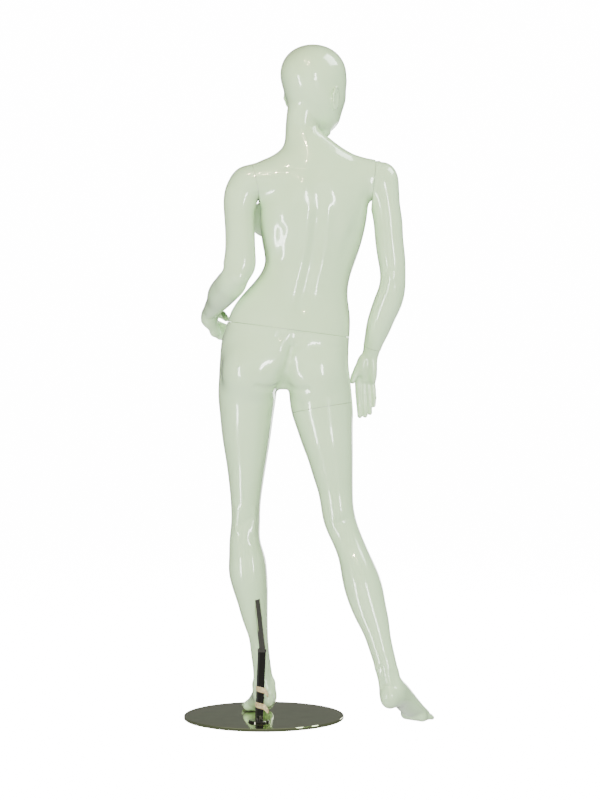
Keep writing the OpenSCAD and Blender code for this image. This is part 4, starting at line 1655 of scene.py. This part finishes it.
# ------------------------------------------------------------------ studio
@dataclass
class Studio:
    """Camera, pale floor and soft lights.

    Attributes:
        eye: where the camera stands, in metres.
        pitch: how far it looks down, in degrees.
        focal: its focal length, in millimetres.
        level: strength of the air's light at eye level.
        below: strength added from underneath.
        above: strength added from overhead.
        floor_radius: radius of the level floor.
        sweep_radius: radius of the curve between floor and wall.
        wall_height: height of the wall.
        roof_height: height of the roof in the middle.
        floor_sides: number of sides of the floor's circle.
    """

    eye: tuple = (-0.096, 5.55, 0.9715)
    pitch: float = 1.302
    focal: float = 94.23
    level: float = 0.20
    below: float = 0.9
    above: float = 0.35
    floor_radius: float = 7.0
    sweep_radius: float = 2.5
    wall_height: float = 9.0
    roof_height: float = 12.0
    floor_sides: int = 48

    def camera(self) -> None:
        """Camera at the standing viewer's height, behind the figure."""
        cam = bpy.data.objects.new("camera", bpy.data.cameras.new("camera"))
        bpy.context.scene.collection.objects.link(cam)
        cam.location = self.eye
        cam.rotation_euler = (math.radians(90 - self.pitch), 0, math.radians(180))
        cam.data.sensor_width = 36.0
        cam.data.sensor_fit = "AUTO"
        cam.data.lens = self.focal
        cam.data.clip_start, cam.data.clip_end = 0.1, 60
        bpy.context.scene.camera = cam

    def lamp(self, name: str, place: tuple, aim: tuple, size: tuple, power: float,
             tint: tuple = (1, 1, 1), mirrored: bool = True) -> None:
        """A rectangular soft light.

        Args:
            name: its name.
            place: where it hangs, in metres.
            aim: the point it faces.
            size: width and height, in metres.
            power: watts.
            tint: its colour.
            mirrored: whether glossy surfaces show it.
        """
        data = bpy.data.lights.new(name, "AREA")
        data.shape = "RECTANGLE"
        data.size, data.size_y = size
        data.energy, data.color = power, tint
        obj = bpy.data.objects.new(name, data)
        bpy.context.scene.collection.objects.link(obj)
        obj.location = place
        obj.rotation_euler = (Vector(aim) - Vector(place)).to_track_quat("-Z", "Y").to_euler()
        obj.visible_glossy = mirrored

    def floor(self) -> None:
        """Pale sweep: level underfoot, curving up far off on every side."""
        bm = bmesh.new()
        flat, curve, n = self.floor_radius, self.sweep_radius, self.floor_sides
        profile = [(0.001, 0.0), (3.0, 0.0), (flat, 0.0)]
        profile += [(flat + curve * math.sin(a), curve - curve * math.cos(a))
                    for a in np.linspace(0.1, math.pi / 2, 12)]
        profile += [(flat + curve, self.wall_height), (0.001, self.roof_height)]
        rows = [[bm.verts.new((r * math.cos(2 * math.pi * i / n), r * math.sin(2 * math.pi * i / n), z))
                 for i in range(n)] for r, z in profile]
        for a, b in zip(rows, rows[1:]):
            for i in range(n):
                bm.faces.new((a[i], a[(i + 1) % n], b[(i + 1) % n], b[i]))
        for f in bm.faces:
            f.smooth = True
        floor = link("floor_sweep", new_mesh("floor_sweep", bm))
        t = Tree("pale_floor")
        t.join(t.ramp(t.noise(1.5), (0.96, 0.96, 0.96), (0.98, 0.98, 0.98)), t.shader.inputs["Base Color"])
        t.put(Roughness=0.9, Specular_IOR_Level=0.0, Emission_Color=(1, 1, 1, 1), Emission_Strength=15.0)
        floor.data.materials.append(t.mat)
        floor.visible_diffuse = floor.visible_glossy = floor.visible_shadow = False

    def air(self) -> None:
        """Soft light from every side, stronger from underneath and from overhead."""
        world = bpy.data.worlds.new("studio")
        bpy.context.scene.world = world
        world.use_nodes = True
        nodes, links = world.node_tree.nodes, world.node_tree.links
        where = nodes.new("ShaderNodeTexCoord")
        parts = nodes.new("ShaderNodeSeparateXYZ")
        links.new(where.outputs["Generated"], parts.inputs[0])
        total = None
        for axis, low, high, gain in (("Z", -0.25, -0.6, self.below), ("Z", 0.7, 0.95, self.above)):
            span = nodes.new("ShaderNodeMapRange")
            span.interpolation_type = "SMOOTHSTEP"
            span.inputs["From Min"].default_value, span.inputs["From Max"].default_value = low, high
            span.inputs["To Min"].default_value, span.inputs["To Max"].default_value = 0.0, gain
            links.new(parts.outputs[axis], span.inputs["Value"])
            add = nodes.new("ShaderNodeMath")
            add.operation = "ADD"
            links.new(span.outputs["Result"], add.inputs[0])
            if total is None:
                add.inputs[1].default_value = self.level
            else:
                links.new(total, add.inputs[1])
            total = add.outputs[0]
        back = nodes["Background"]
        back.inputs["Color"].default_value = (0.98, 1.0, 0.95, 1)
        links.new(total, back.inputs["Strength"])

    def make(self) -> None:
        """Sets up the studio."""
        self.camera()
        self.floor()
        self.air()
        warm, cool = (1.0, 0.80, 0.50), (0.92, 1.0, 0.95)
        self.lamp("right_strip", (-1.25, 2.25, 1.1), (-0.1, 0, 1.1), (0.25, 1.1), 36)
        self.lamp("left_strip", (1.7, 1.8, 0.55), (0.0, 0, 1.1), (0.30, 1.2), 40)
        self.lamp("right_window", (-2.6, -0.4, 3.6), (-0.1, 0, 1.2), (1.6, 1.6), 110, cool)
        for name, place in (("ceiling_a", (0.3, 1.2, 3.0)), ("ceiling_b", (-0.1, 1.5, 3.0)),
                            ("ceiling_c", (0.0, 2.2, 3.0))):
            self.lamp(name, place, (-0.1, 0, 1.2), (0.08, 0.08), 9, warm)
        self.lamp("viewer_soft", (0.4, 5.2, 2.0), (-0.1, 0, 0.85), (2.4, 1.6), 215, mirrored=False)
        self.lamp("right_side", (-4.6, 0.8, 1.6), (-0.1, 0, 1.0), (1.6, 3.0), 62, cool, False)
        self.lamp("left_side", (4.6, 0.8, 1.6), (-0.1, 0, 1.0), (1.6, 3.0), 62, mirrored=False)
        self.lamp("front_soft", (0.0, -3.0, 3.6), (0, 0, 1.0), (2.4, 2.4), 110, mirrored=False)
        self.lamp("bar_glint", (-1.5, -2.6, 0.4), (0.0, 0.1, 0.25), (0.7, 1.0), 12)


def main() -> None:
    """Builds the figure on its stand and the studio round it."""
    logging.basicConfig(level=logging.INFO, format="%(name)s: %(message)s")
    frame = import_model()
    lacquer = Lacquer().make()
    Studio().make()
    torso = Torso().make(lacquer)
    LowerFigure().make(lacquer)
    for side in Side:
        Arm(side).make(torso, lacquer)
        Hand(side).make(lacquer)
    Fittings().make(frame)
    Stand().make(frame)


if __name__ == "__main__":
    main()
